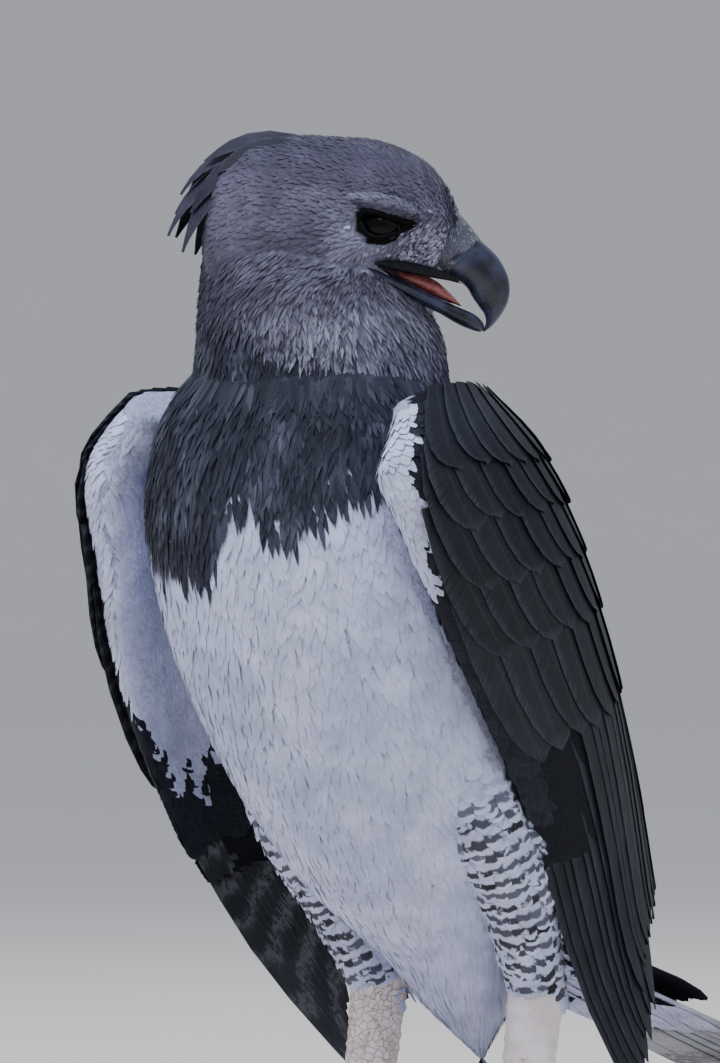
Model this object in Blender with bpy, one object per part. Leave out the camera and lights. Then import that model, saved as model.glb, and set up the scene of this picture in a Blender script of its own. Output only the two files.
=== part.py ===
"""Harpy eagle, life size, standing with its head turned over its left side.

Units are metres and +Z is up. The bird's chest faces -Y, so its left side is at +X. Each named
object is one closed solid, and touching solids keep a gap of GAP. The finished model is moved so
that its origin is the middle of its own footprint, at floor level.
"""

import math

import bmesh
import bpy
import numpy as np
from mathutils import Matrix, Vector

GAP = 0.00035
WING_CLEARANCE = 0.0015
LEFT = 1
RIGHT = -1
SIDES = {"left": LEFT, "right": RIGHT}

# Torso: place along the spine, centre y and z, half width, depth to the front and to the back.
TORSO = [
    (0.00, -0.106, 0.462, 0.060, 0.060, 0.054),
    (0.12, -0.110, 0.428, 0.086, 0.078, 0.068),
    (0.27, -0.110, 0.385, 0.098, 0.090, 0.078),
    (0.42, -0.100, 0.335, 0.098, 0.088, 0.078),
    (0.57, -0.078, 0.283, 0.092, 0.082, 0.074),
    (0.72, -0.047, 0.232, 0.082, 0.074, 0.068),
    (0.84, -0.014, 0.184, 0.066, 0.062, 0.066),
    (0.92, 0.004, 0.146, 0.048, 0.042, 0.058),
    (0.97, 0.013, 0.113, 0.029, 0.026, 0.030),
    (1.00, 0.020, 0.088, 0.010, 0.009, 0.010),
]
TORSO_RINGS = 16
TORSO_SIDES = 22

# Neck: place along it, centre x, y and z, half width, half depth.
NECK = [
    (0.00, 0.000, -0.110, 0.420, 0.072, 0.068),
    (0.30, 0.001, -0.114, 0.448, 0.070, 0.067),
    (0.55, 0.001, -0.115, 0.468, 0.067, 0.065),
    (0.80, -0.003, -0.118, 0.488, 0.059, 0.058),
    (1.00, -0.012, -0.123, 0.505, 0.046, 0.046),
]
NECK_RINGS = 6
NECK_SIDES = 18

# Head: its centre, and the way it faces, turned from +X towards +Y.
HEAD_CENTRE = Vector((0.010, -0.112, 0.527))
HEAD_TURN = math.radians(32)
# Head sections from back to front: place, middle height, half height, half width.
HEAD = [
    (-0.0715, -0.012, 0.010, 0.010),
    (-0.0660, -0.010, 0.030, 0.028),
    (-0.0500, -0.004, 0.046, 0.042),
    (-0.0250, -0.002, 0.0505, 0.0480),
    (0.0000, -0.003, 0.0510, 0.0480),
    (0.0220, -0.003, 0.0490, 0.0445),
    (0.0400, -0.006, 0.0455, 0.0385),
    (0.0550, -0.0095, 0.0380, 0.0295),
    (0.0660, -0.015, 0.0240, 0.0180),
    (0.0700, -0.017, 0.0120, 0.0110),
]
HEAD_RINGS = 15
HEAD_SIDES = 20
EYE_PLACE = (0.0285, 0.0312, -0.0020)
EYE_RADIUS = 0.0112
# Forms raised or sunk on each side of the head: middle, reach along each axis, and push.
HEAD_FORMS = [
    ((0.0280, 0.0400, -0.0035), (0.0150, 0.0150, 0.0085), (0.0000, -0.0062, 0.0000)),
    ((0.0480, 0.0300, -0.0080), (0.0120, 0.0140, 0.0110), (0.0000, -0.0036, 0.0000)),
]
# Brow and the two eyelids of one side: forward, out and up of the head's centre, half depth and
# half height.
BROW = [
    (0.0040, 0.0420, 0.0170, 0.0036, 0.0030),
    (0.0170, 0.0452, 0.0138, 0.0046, 0.0042),
    (0.0300, 0.0440, 0.0090, 0.0048, 0.0042),
    (0.0405, 0.0385, 0.0052, 0.0038, 0.0032),
    (0.0490, 0.0322, 0.0026, 0.0022, 0.0018),
]
LIDS = [
    [
        (0.0178, 0.0405, 0.0010, 0.0013, 0.0013),
        (0.0210, 0.0418, -0.0075, 0.0017, 0.0017),
        (0.0285, 0.0412, -0.0112, 0.0018, 0.0018),
        (0.0365, 0.0385, -0.0085, 0.0016, 0.0016),
        (0.0420, 0.0352, -0.0020, 0.0010, 0.0010),
    ],
    [
        (0.0176, 0.0405, -0.0010, 0.0012, 0.0012),
        (0.0215, 0.0425, 0.0062, 0.0017, 0.0017),
        (0.0300, 0.0415, 0.0060, 0.0017, 0.0017),
        (0.0372, 0.0382, 0.0022, 0.0015, 0.0015),
        (0.0425, 0.0350, -0.0014, 0.0010, 0.0010),
    ],
]
NOSTRIL = [
    (0.0620, 0.0164, -0.0198, 0.0011, 0.0011),
    (0.0665, 0.0160, -0.0182, 0.0020, 0.0015),
    (0.0710, 0.0148, -0.0164, 0.0011, 0.0010),
]
# Crest feathers of one side: root, bend and tip (forward, out, up of the head's centre), half width.
CREST = [
    ((-0.0080, 0.0135, 0.0440), (-0.0400, 0.0150, 0.0530), (-0.0655, 0.0165, 0.0340), 0.0090),
    ((-0.0200, 0.0080, 0.0440), (-0.0580, 0.0085, 0.0510), (-0.0795, 0.0090, 0.0180), 0.0090),
    ((-0.0330, 0.0240, 0.0370), (-0.0640, 0.0250, 0.0300), (-0.0790, 0.0260, -0.0060), 0.0085),
]
CREST_MIDDLE = ((-0.0300, 0.0000, 0.0440), (-0.0680, 0.0000, 0.0400), (-0.0880, 0.0000, -0.0020), 0.0090)
MOUTH_CORNER = (0.0235, -0.0235)
MOUTH_TOP = (0.0950, -0.0340)
MOUTH_FLOOR = (0.0950, -0.0640)

# Bill sections in the head's middle plane: ridge point and edge point (forward, up), half width.
CERE = [
    ((0.0600, 0.0140), (0.0300, -0.0230), 0.0200),
    ((0.0690, 0.0020), (0.0440, -0.0250), 0.0160),
    ((0.0772, -0.0085), (0.0600, -0.0280), 0.0126),
]
UPPER_BILL = [
    ((0.0775, -0.0090), (0.0606, -0.0284), 0.0122),
    ((0.0856, -0.0168), (0.0663, -0.0312), 0.0112),
    ((0.0912, -0.0266), (0.0700, -0.0348), 0.0098),
    ((0.0926, -0.0346), (0.0728, -0.0394), 0.0082),
    ((0.0912, -0.0424), (0.0764, -0.0440), 0.0064),
    ((0.0872, -0.0494), (0.0792, -0.0478), 0.0045),
    ((0.0826, -0.0545), (0.0800, -0.0520), 0.0026),
    ((0.0788, -0.0572), (0.0786, -0.0562), 0.0009),
]
LOWER_BILL = [
    ((0.0270, -0.0265), (0.0285, -0.0330), 0.0190),
    ((0.0400, -0.0325), (0.0425, -0.0415), 0.0150),
    ((0.0530, -0.0392), (0.0550, -0.0485), 0.0112),
    ((0.0640, -0.0448), (0.0650, -0.0530), 0.0088),
    ((0.0725, -0.0500), (0.0730, -0.0562), 0.0068),
    ((0.0770, -0.0535), (0.0768, -0.0580), 0.0035),
]
# Tongue: place, forward, up, half width, half height.
TONGUE = [
    (0.00, 0.0300, -0.0255, 0.0070, 0.0020),
    (0.35, 0.0430, -0.0318, 0.0070, 0.0028),
    (0.75, 0.0560, -0.0380, 0.0055, 0.0024),
    (1.00, 0.0640, -0.0428, 0.0020, 0.0010),
]

# Thigh and shank under its feathers: place, centre x, y and z, half width, half depth.
THIGH = [
    (0.00, 0.058, -0.064, 0.255, 0.030, 0.038),
    (0.30, 0.065, -0.050, 0.215, 0.027, 0.033),
    (0.60, 0.062, -0.024, 0.172, 0.0215, 0.0250),
    (0.85, 0.056, -0.008, 0.138, 0.0175, 0.0195),
    (1.00, 0.053, 0.002, 0.117, 0.0160, 0.0170),
]
ANKLE_Y = {"left": 0.004, "right": 0.000}
TARSUS_TOP = 0.1240
TARSUS_FOOT = 0.0260
TARSUS_FORWARD = 0.0160
TARSUS = [
    (0.00, 0.0150, 0.0165),
    (0.20, 0.0140, 0.0155),
    (0.60, 0.0138, 0.0150),
    (0.88, 0.0152, 0.0165),
    (1.00, 0.0165, 0.0180),
]
LEG_X = 0.053

# Toes: way it points from straight ahead, length, radius at its root, claw length, claw radius.
TOES = {
    "middle": (7.0, 0.084, 0.0125, 0.046, 0.0066),
    "inner": (-23.0, 0.062, 0.0135, 0.058, 0.0078),
    "outer": (44.0, 0.064, 0.0115, 0.040, 0.0058),
    "hind": (172.0, 0.046, 0.0140, 0.078, 0.0088),
}
CLAW_TURN = math.radians(105)
CLAW_TIP_HEIGHT = 0.0015
PAD_HEIGHT = 0.0095
PAD_RADIUS = 0.0118
SCUTE_STEP = 0.0009
TARSUS_SCUTES = 6

# Wing: place from wrist to tips, then the front edge, bulge and rear edge curves, each x, y, z.
LEFT_WING = [
    (0.00, 0.100, -0.165, 0.438, 0.122, -0.098, 0.452, 0.056, -0.046, 0.430),
    (0.10, 0.108, -0.190, 0.402, 0.166, -0.086, 0.420, 0.040, -0.006, 0.408),
    (0.25, 0.111, -0.168, 0.350, 0.178, -0.054, 0.376, 0.032, 0.024, 0.370),
    (0.40, 0.106, -0.132, 0.303, 0.173, -0.024, 0.332, 0.030, 0.046, 0.325),
    (0.60, 0.096, -0.074, 0.236, 0.150, 0.014, 0.262, 0.034, 0.078, 0.254),
    (0.75, 0.087, -0.032, 0.180, 0.124, 0.040, 0.205, 0.044, 0.100, 0.190),
    (0.90, 0.080, 0.014, 0.112, 0.104, 0.060, 0.130, 0.064, 0.100, 0.116),
    (1.00, 0.076, 0.070, 0.045, 0.086, 0.092, 0.052, 0.070, 0.100, 0.048),
]
RIGHT_WING = [
    (0.00, 0.106, -0.156, 0.436, 0.122, -0.096, 0.452, 0.056, -0.046, 0.430),
    (0.10, 0.121, -0.172, 0.400, 0.170, -0.086, 0.422, 0.040, -0.006, 0.408),
    (0.25, 0.130, -0.154, 0.335, 0.190, -0.056, 0.374, 0.032, 0.024, 0.370),
    (0.40, 0.141, -0.128, 0.286, 0.196, -0.022, 0.326, 0.030, 0.046, 0.325),
    (0.60, 0.142, -0.085, 0.215, 0.188, 0.004, 0.250, 0.036, 0.078, 0.254),
    (0.75, 0.136, -0.050, 0.165, 0.174, 0.026, 0.194, 0.050, 0.096, 0.190),
    (0.90, 0.120, -0.008, 0.110, 0.146, 0.046, 0.124, 0.076, 0.096, 0.118),
    (1.00, 0.099, 0.052, 0.048, 0.111, 0.080, 0.054, 0.086, 0.092, 0.050),
]
WING_THICKNESS = [
    (0.00, 0.030),
    (0.15, 0.034),
    (0.35, 0.026),
    (0.60, 0.013),
    (0.85, 0.006),
    (1.00, 0.004),
]
WING_NOSE = 0.16
WING_CORE_END = 0.84
# How far the wing's core lies under the feathers' surface.
WING_CORE_DEPTH = 0.0022

# Feather rows of a wing: count, root place and chord (first and last), tip place and chord (first
# and last), half width, depth of the root, thickness at root and tip.
FEATHER_ROWS = {
    "primaries": (
        4,
        (0.40, 0.34),
        (0.10, 0.28),
        (1.000, 0.935),
        (0.13, 0.46),
        0.0180,
        0.0040,
        0.0009,
        0.0009,
    ),
    "secondaries": (
        4,
        (0.36, 0.34),
        (0.36, 0.80),
        (0.905, 0.800),
        (0.44, 0.80),
        0.0215,
        0.0040,
        0.0014,
        0.0009,
    ),
    "tertials": (
        2,
        (0.30, 0.28),
        (0.80, 0.93),
        (0.700, 0.610),
        (0.83, 0.95),
        0.0140,
        0.0036,
        0.0014,
        0.0009,
    ),
    "greater_coverts": (
        5,
        (0.24, 0.24),
        (0.10, 0.88),
        (0.560, 0.520),
        (0.10, 0.90),
        0.0215,
        0.0036,
        0.0012,
        0.0009,
    ),
    "median_coverts": (
        5,
        (0.13, 0.15),
        (0.13, 0.87),
        (0.410, 0.400),
        (0.12, 0.88),
        0.0210,
        0.0036,
        0.0012,
        0.0009,
    ),
    "lesser_coverts": (
        4,
        (0.02, 0.05),
        (0.14, 0.84),
        (0.265, 0.270),
        (0.14, 0.84),
        0.0225,
        0.0036,
        0.0012,
        0.0009,
    ),
}
# How much lower each primary lies than the one behind it.
PRIMARY_STEP = 0.0013
VANE_PLACES = np.array([0.0, 0.45, 0.86, 1.0])
VANE_WIDTHS = np.array([0.60, 1.0, 0.80, 0.34])
VANE_COLUMNS = np.array([-1.0, -0.2, 1.0])
VANE_RIDGE = np.array([0.0, 0.0003, 0.0])
VANE_TILT = 0.0010
VANE_TIP = 0.22

# Tail: place from rump to tip, centre y and z, half width.
TAIL = [
    (0.00, 0.034, 0.156, 0.026),
    (0.20, 0.110, 0.130, 0.042),
    (0.60, 0.255, 0.077, 0.052),
    (1.00, 0.405, 0.031, 0.058),
]
TAIL_ROOF = 0.003
TAIL_CORE_END = 0.42
TAIL_CORE_THICKNESS = 0.011
TAIL_FEATHERS = 12
TAIL_FEATHER_HALF = 0.0150
TAIL_STEP = 0.0012
TAIL_THICKNESS = 0.0008
TAIL_ROOT_DEPTH = 0.0047
# Short feathers over the tail's root: share of the half width, height of the tip, half width.
TAIL_COVERTS = [(-0.69, 0.0019, 0.0150), (0.02, 0.0047, 0.0165), (0.71, 0.0023, 0.0150)]

COLOURS = {
    "white_feather": (0.80, 0.80, 0.84),
    "grey_feather": (0.20, 0.20, 0.23),
    "slate_feather": (0.035, 0.037, 0.045),
    "horn": (0.025, 0.028, 0.036),
    "cere": (0.055, 0.057, 0.065),
    "eye": (0.012, 0.010, 0.010),
    "tongue": (0.62, 0.22, 0.22),
    "scaly_skin": (0.72, 0.58, 0.38),
}


def curve(rows, t):
    """Smooth curve through rows whose first column is the place: cubic pieces with shared slopes."""
    rows = np.asarray(rows, float)
    knots, values = rows[:, 0], rows[:, 1:]
    slopes = np.gradient(values, knots, axis=0)
    t = np.clip(np.asarray(t, float), knots[0], knots[-1])
    i = np.clip(np.searchsorted(knots, t, side="right") - 1, 0, len(knots) - 2)
    span = (knots[i + 1] - knots[i])[..., None]
    s = (t[..., None] - knots[i][..., None]) / span
    return (
        (2 * s**3 - 3 * s**2 + 1) * values[i]
        + (s**3 - 2 * s**2 + s) * span * slopes[i]
        + (3 * s**2 - 2 * s**3) * values[i + 1]
        + (s**3 - s**2) * span * slopes[i + 1]
    )


def unit(vectors):
    """The same directions at length one."""
    return vectors / np.maximum(np.linalg.norm(vectors, axis=-1, keepdims=True), 1e-12)


def signed_power(value, power):
    """A power that keeps the sign, for the rounded square of a superellipse."""
    return np.sign(value) * np.abs(value) ** power


def around(count):
    """Even angles round a ring."""
    return np.linspace(0.0, 2.0 * math.pi, count, endpoint=False)


def tube_faces(rings, sides):
    """Quads between rings, and a fan from each end ring to its own middle point."""
    faces = []
    for i in range(rings - 1):
        for j in range(sides):
            k = (j + 1) % sides
            faces.append((i * sides + j, i * sides + k, (i + 1) * sides + k, (i + 1) * sides + j))
    first, last = rings * sides, rings * sides + 1
    for j in range(sides):
        k = (j + 1) % sides
        faces.append((first, k, j))
        faces.append((last, (rings - 1) * sides + j, (rings - 1) * sides + k))
    return faces


def tube(grid):
    """Closed tube from a grid of rings."""
    rings, sides = grid.shape[:2]
    ends = np.array([grid[0].mean(axis=0), grid[-1].mean(axis=0)])
    return np.vstack([grid.reshape(-1, 3), ends]), tube_faces(rings, sides)


def shell(outer, inner):
    """Closed thin solid between two grids, with both faces split into triangles alike."""
    rows, columns = outer.shape[:2]
    other = rows * columns
    faces = []

    def at(i, j):
        return i * columns + j

    for i in range(rows - 1):
        for j in range(columns - 1):
            a, b, c, d = at(i, j), at(i, j + 1), at(i + 1, j + 1), at(i + 1, j)
            faces += [(a, b, c), (a, c, d)]
            faces += [(a + other, c + other, b + other), (a + other, d + other, c + other)]
    rim = [at(0, j) for j in range(columns)]
    rim += [at(i, columns - 1) for i in range(1, rows)]
    rim += [at(rows - 1, j) for j in range(columns - 2, -1, -1)]
    rim += [at(i, 0) for i in range(rows - 2, 0, -1)]
    for a, b in zip(rim, rim[1:] + rim[:1]):
        faces += [(b, a, a + other), (b, a + other, b + other)]
    return np.vstack([outer.reshape(-1, 3), inner.reshape(-1, 3)]), faces


def swept_tube(centres, half_side, half_up, sides, up=(0.0, 0.0, 1.0)):
    """Closed tube with oval rings square to the line of its centres."""
    along = unit(np.gradient(centres, axis=0))
    side = unit(np.cross(np.asarray(up, float), along))
    lift = np.cross(along, side)
    angle = around(sides)[None, :, None]
    grid = (
        centres[:, None]
        + side[:, None] * np.sin(angle) * half_side[:, None, None]
        + lift[:, None] * np.cos(angle) * half_up[:, None, None]
    )
    return tube(grid)


class Workshop:
    """Makes, cuts and joins the named solids."""

    def __init__(self):
        for old in list(bpy.data.objects):
            bpy.data.objects.remove(old, do_unlink=True)
        self.parts = bpy.data.collections.new("harpy_eagle")
        self.scraps = bpy.data.collections.new("cutters")
        for collection in (self.parts, self.scraps):
            bpy.context.scene.collection.children.link(collection)
        self.materials = {name: self.material(name, colour) for name, colour in COLOURS.items()}

    def material(self, name, colour):
        made = bpy.data.materials.new(name)
        made.use_nodes = True
        shader = made.node_tree.nodes["Principled BSDF"]
        shader.inputs["Base Color"].default_value = (*colour, 1.0)
        glossy = name in ("eye", "horn", "tongue")
        shader.inputs["Roughness"].default_value = 0.25 if glossy else 0.75
        shader.inputs["Metallic"].default_value = 0.0
        return made

    def solid(self, name, shape, finish, collection=None):
        """A mesh object from points and faces, with every face turned outwards."""
        points, faces = shape
        mesh = bpy.data.meshes.new(name)
        mesh.from_pydata(points.tolist(), [], faces)
        work = bmesh.new()
        work.from_mesh(mesh)
        bmesh.ops.recalc_face_normals(work, faces=work.faces)
        bmesh.ops.triangulate(work, faces=work.faces)
        work.to_mesh(mesh)
        work.free()
        obj = bpy.data.objects.new(name, mesh)
        obj.data.materials.append(self.materials[finish])
        (collection or self.parts).objects.link(obj)
        return obj

    def grown(self, obj, reach):
        """A hidden copy with its surface moved out along its normals."""
        copy = bpy.data.objects.new("cutter_" + obj.name, obj.data.copy())
        work = bmesh.new()
        work.from_mesh(copy.data)
        work.normal_update()
        moves = [v.normal * reach * v.calc_shell_factor() for v in work.verts]
        for vertex, move in zip(work.verts, moves):
            vertex.co += move
        work.to_mesh(copy.data)
        work.free()
        self.scraps.objects.link(copy)
        copy.hide_render = True
        copy.display_type = "WIRE"
        return copy

    def boolean(self, obj, operation, other):
        """Applies one Boolean with an object or a collection, and keeps the largest closed surface."""
        change = obj.modifiers.new("change", "BOOLEAN")
        change.operation = operation
        change.solver = "MANIFOLD"
        if isinstance(other, bpy.types.Collection):
            change.operand_type = "COLLECTION"
            change.collection = other
        else:
            change.object = other
        bpy.context.view_layer.update()
        evaluated = obj.evaluated_get(bpy.context.evaluated_depsgraph_get())
        mesh = bpy.data.meshes.new_from_object(evaluated)
        obj.modifiers.remove(change)
        obj.data = mesh
        self.keep_largest(obj)

    def keep_largest(self, obj):
        """Drops every surface of the mesh but the one that holds the most."""
        work = bmesh.new()
        work.from_mesh(obj.data)
        bmesh.ops.triangulate(work, faces=work.faces)
        left = set(work.faces)
        groups = []
        while left:
            seed = left.pop()
            group, edge = {seed}, [seed]
            while edge:
                for e in edge.pop().edges:
                    for face in e.link_faces:
                        if face in left:
                            left.discard(face)
                            group.add(face)
                            edge.append(face)
            groups.append(group)

        def volume(group):
            return sum(f.verts[0].co.dot(f.verts[1].co.cross(f.verts[2].co)) for f in group)

        best = max(groups, key=volume)
        drop = [f for group in groups if group is not best for f in group]
        bmesh.ops.delete(work, geom=drop, context="FACES")
        loose = [v for v in work.verts if not v.link_faces]
        bmesh.ops.delete(work, geom=loose, context="VERTS")
        work.to_mesh(obj.data)
        work.free()

    def fuse(self, obj, shapes):
        """Joins closed shapes to the object with one union."""
        bits = bpy.data.collections.new("bits")
        bpy.context.scene.collection.children.link(bits)
        for i, shape in enumerate(shapes):
            self.solid(f"bit_{i}", shape, "horn", bits)
        self.boolean(obj, "UNION", bits)
        for bit in list(bits.objects):
            bpy.data.objects.remove(bit, do_unlink=True)
        bpy.data.collections.remove(bits)

    def carve(self, obj, *neighbours, reach=GAP):
        """Cuts the object clear of its neighbours, leaving a gap between them."""
        for neighbour in neighbours:
            cutter = self.grown(neighbour, reach)
            self.boolean(obj, "DIFFERENCE", cutter)
            bpy.data.objects.remove(cutter, do_unlink=True)

    def cut(self, obj, shape, operation="DIFFERENCE"):
        """Cuts the object with a shape."""
        cutter = self.solid("cutter", shape, "horn", self.scraps)
        self.boolean(obj, operation, cutter)
        bpy.data.objects.remove(cutter, do_unlink=True)

    def box(self, low, high):
        """A plain box between two corners."""
        corners = np.array([[(low, high)[(k >> a) & 1][a] for a in range(3)] for k in range(8)])
        faces = [(0, 2, 3, 1), (4, 5, 7, 6), (0, 1, 5, 4), (2, 6, 7, 3), (0, 4, 6, 2), (1, 3, 7, 5)]
        return corners, faces


def torso_grid():
    """Rings square to the spine, deeper to the front than to the back."""
    rows = curve(TORSO, np.linspace(0.0, 1.0, TORSO_RINGS))
    centres = np.column_stack([np.zeros(len(rows)), rows[:, 0], rows[:, 1]])
    along = unit(np.gradient(centres, axis=0))
    back = np.column_stack([np.zeros(len(rows)), -along[:, 2], along[:, 1]])
    angle = around(TORSO_SIDES)[None, :]
    across = signed_power(np.sin(angle), 0.92)
    depth = signed_power(np.cos(angle), 0.92)
    half = np.where(depth > 0, rows[:, 4:5], rows[:, 3:4])
    grid = centres[:, None] + back[:, None] * (depth * half)[..., None]
    grid[..., 0] += across * rows[:, 2:3]
    return grid


def neck_grid():
    """Level rings from the shoulders up into the head."""
    rows = curve(NECK, np.linspace(0.0, 1.0, NECK_RINGS))[:, None]
    angle = around(NECK_SIDES)[None, :]
    return np.stack(
        [
            rows[..., 0] + rows[..., 3] * np.cos(angle),
            rows[..., 1] + rows[..., 4] * np.sin(angle),
            rows[..., 2] + 0.0 * angle,
        ],
        axis=-1,
    )


def head_matrix():
    """Columns: the way the head faces, its left, and up."""
    forward = Vector((math.cos(HEAD_TURN), math.sin(HEAD_TURN), 0.0))
    left = Vector((0.0, 0.0, 1.0)).cross(forward)
    turn = Matrix((forward, left, Vector((0.0, 0.0, 1.0)))).transposed().to_4x4()
    return Matrix.Translation(HEAD_CENTRE) @ turn


def in_world(points):
    """Points given as forward, left and up of the head's centre, in the model's frame."""
    m = np.array(head_matrix())
    return points @ m[:3, :3].T + m[:3, 3]


def head_grid():
    """Rings square to the way the head faces, with its brows and eye hollows."""
    share = 0.5 - 0.5 * np.cos(np.linspace(0, math.pi, HEAD_RINGS))
    place = HEAD[0][0] + (HEAD[-1][0] - HEAD[0][0]) * share
    rows = curve(HEAD, place)
    angle = around(HEAD_SIDES)[None, :]
    across = signed_power(np.sin(angle), 0.9) * rows[:, 2:3]
    height = rows[:, 0:1] + np.cos(angle) * rows[:, 1:2]
    grid = np.stack([np.broadcast_to(place[:, None], across.shape), across, height], axis=-1)
    for middle, reach, push in HEAD_FORMS:
        for side in (LEFT, RIGHT):
            flip = np.array([1.0, side, 1.0])
            share = np.exp(-(((grid - np.array(middle) * flip) / np.array(reach)) ** 2).sum(axis=-1))
            grid = grid + share[..., None] * np.array(push) * flip
    return grid


def bill_grid(sections, rings, sides, ridge=0.35, trough=0.0):
    """Oval rings between ridge and edge points, narrower at the ridge, with a trough on top if asked."""
    last = len(sections) - 1
    rows = [(i / last, *top, *edge, half) for i, (top, edge, half) in enumerate(sections)]
    rows = curve(rows, np.linspace(0.0, 1.0, rings))
    top, edge, half = rows[:, 0:2], rows[:, 2:4], rows[:, 4:5]
    angle = around(sides)[None, :]
    height = signed_power(np.cos(angle), 0.85)
    width = signed_power(np.sin(angle), 0.8) * (1.0 - ridge * np.maximum(np.cos(angle), 0.0) ** 2)
    height = height - trough * np.exp(-((width / 0.5) ** 2)) * np.maximum(height, 0.0)
    middle, reach = (top + edge) / 2.0, (top - edge) / 2.0
    plane = middle[:, None] + reach[:, None] * height[..., None]
    return np.stack([plane[..., 0], width * half, plane[..., 1]], axis=-1)


def mouth_wedge():
    """Wedge that opens the mouth from its corner forwards."""
    line = [MOUTH_CORNER, MOUTH_TOP, MOUTH_FLOOR]
    reach = 0.06
    points = [(s, side * reach, h) for side in (RIGHT, LEFT) for s, h in line]
    faces = [(0, 1, 2), (3, 5, 4), (0, 3, 4, 1), (1, 4, 5, 2), (2, 5, 3, 0)]
    return in_world(np.array(points)), faces


def wing_surface(table, side, t, c):
    """Point on the wing's outer face and its outward normal: a parabola from front to rear edge."""

    def point(t, c):
        rows = curve(table, t)
        c = c[..., None]
        front, bulge, rear = rows[..., 0:3], rows[..., 3:6], rows[..., 6:9]
        place = (1 - c) ** 2 * front + 2 * c * (1 - c) * bulge + c**2 * rear
        return place * np.array([side, 1.0, 1.0])

    t, c = np.broadcast_arrays(np.asarray(t, float), np.asarray(c, float))
    step = 0.004
    low_t, high_t = np.clip(t - step, 0, 1), np.clip(t + step, 0, 1)
    down = point(high_t, c) - point(low_t, c)
    back = point(t, c + step) - point(t, c - step)
    return point(t, c), unit(np.cross(down, back)) * side


def wing_plate(table, side, t_end, rows, columns, depth):
    """The wing as one plate with a round front edge, its outer face sunk by a depth."""
    t = np.linspace(0.0, t_end, rows)[:, None]
    c = np.linspace(0.0, 1.0, columns)[None, :] ** 1.4
    points, normals = wing_surface(table, side, t, c)
    thick = curve(WING_THICKNESS, t[:, 0])[:, 0][:, None] - depth
    nose = np.clip(1.0 - c / WING_NOSE, 0.0, 1.0)
    nose = 0.5 * (1.0 - np.sqrt(1.0 - (0.92 * nose) ** 2))
    outer = points - normals * (depth + thick * nose)[..., None]
    inner = points - normals * (depth + thick * (1.0 - nose))[..., None]
    return shell(outer, inner)


def wing_vane(table, side, root, tip, half, depth, thick, sunk):
    """One feather that follows the wing's face: its root is sunk, its tip is free and round."""
    s = VANE_PLACES[:, None]
    q = VANE_COLUMNS[None, :]
    t = root[0] + (tip[0] - root[0]) * s
    c = root[1] + (tip[1] - root[1]) * s + 0.0 * q
    here, _ = wing_surface(table, side, t, c)
    aside, _ = wing_surface(table, side, t, c + 0.02)
    chord = np.linalg.norm(aside - here, axis=-1) / 0.02
    above, _ = wing_surface(table, side, np.clip(t - 0.02, 0, 1), c)
    length = np.linalg.norm(here - above, axis=-1) / 0.02
    width = half * VANE_WIDTHS[:, None]
    c = np.clip(c + q * width / chord, 0.0, 1.0)
    t = t - np.abs(q) ** 2 * VANE_TIP * half / length * s**4
    points, normals = wing_surface(table, side, t, c)
    rise = -depth * (1.0 - s) ** 1.3 - VANE_TILT * q + VANE_RIDGE[None, :] - sunk
    low = rise - (thick[0] + (thick[1] - thick[0]) * s)
    return shell(points + normals * rise[..., None], points + normals * low[..., None])


def wing_vanes(table, side, chance):
    """Every feather row of a wing, from its longest feathers to its shortest."""
    shapes = []
    for name, row in FEATHER_ROWS.items():
        count, root_t, root_c, tip_t, tip_c, half, depth, first, last = row
        step = PRIMARY_STEP if name == "primaries" else 0.0
        for k in range(count):
            share = k / (count - 1)
            loose = chance.uniform(-1.0, 1.0, 3)
            root = (
                root_t[0] + (root_t[1] - root_t[0]) * share,
                root_c[0] + (root_c[1] - root_c[0]) * share,
            )
            tip = (
                tip_t[0] + (tip_t[1] - tip_t[0]) * share + (0.006 * loose[0] if k else 0.0),
                tip_c[0] + (tip_c[1] - tip_c[0]) * share + 0.008 * loose[1],
            )
            size = half * (1.0 + 0.06 * loose[2])
            sunk = step * (count - 1 - k)
            shapes.append(wing_vane(table, side, root, tip, size, depth, (first, last), sunk))
    return shapes


def free_vane(root, bend, tip, half, thick, across, camber=0.0):
    """A feather along a bent line, flat across a given direction."""
    s = VANE_PLACES[:, None]
    widths = VANE_WIDTHS[:, None]
    root, bend, tip = (np.asarray(p, float) for p in (root, bend, tip))
    line = (1 - s) ** 2 * root + 2 * s * (1 - s) * bend + s**2 * tip
    along = unit(2 * (1 - s) * (bend - root) + 2 * s * (tip - bend))
    normal = unit(np.cross(along, across))
    flat = unit(np.cross(normal, along))
    q = VANE_COLUMNS[None, :]
    width = half * widths * q
    back = np.abs(q) ** 2 * VANE_TIP * half * s**4
    top = line[:, None] + flat[:, None] * width[..., None] - along[:, None] * back[..., None]
    top = top + normal[:, None] * (VANE_RIDGE[None, :] - camber * q**2)[..., None]
    return shell(top, top - normal[:, None] * thick)


def tail_line(s, q):
    """Point on the tail's roof at a place and a share of its half width."""
    rows = curve(TAIL, s)
    height = rows[..., 1] - TAIL_ROOF * q**2
    return np.stack([q * rows[..., 2], rows[..., 0] + 0.0 * q, height], axis=-1)


def tail_core():
    """The stump that the tail feathers grow from."""
    s = np.linspace(0.0, TAIL_CORE_END, 6)[:, None]
    q = np.linspace(-0.92, 0.92, 7)[None, :]
    s, q = np.broadcast_arrays(s, q)
    top = tail_line(s, q)
    top[..., 2] -= 0.0016
    thick = TAIL_CORE_THICKNESS * (1.0 - s / TAIL_CORE_END) + 0.0036
    low = top - np.stack([0.0 * s, 0.0 * s, thick * (1.0 - 0.5 * q**2)], axis=-1)
    return shell(top, low)


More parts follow.
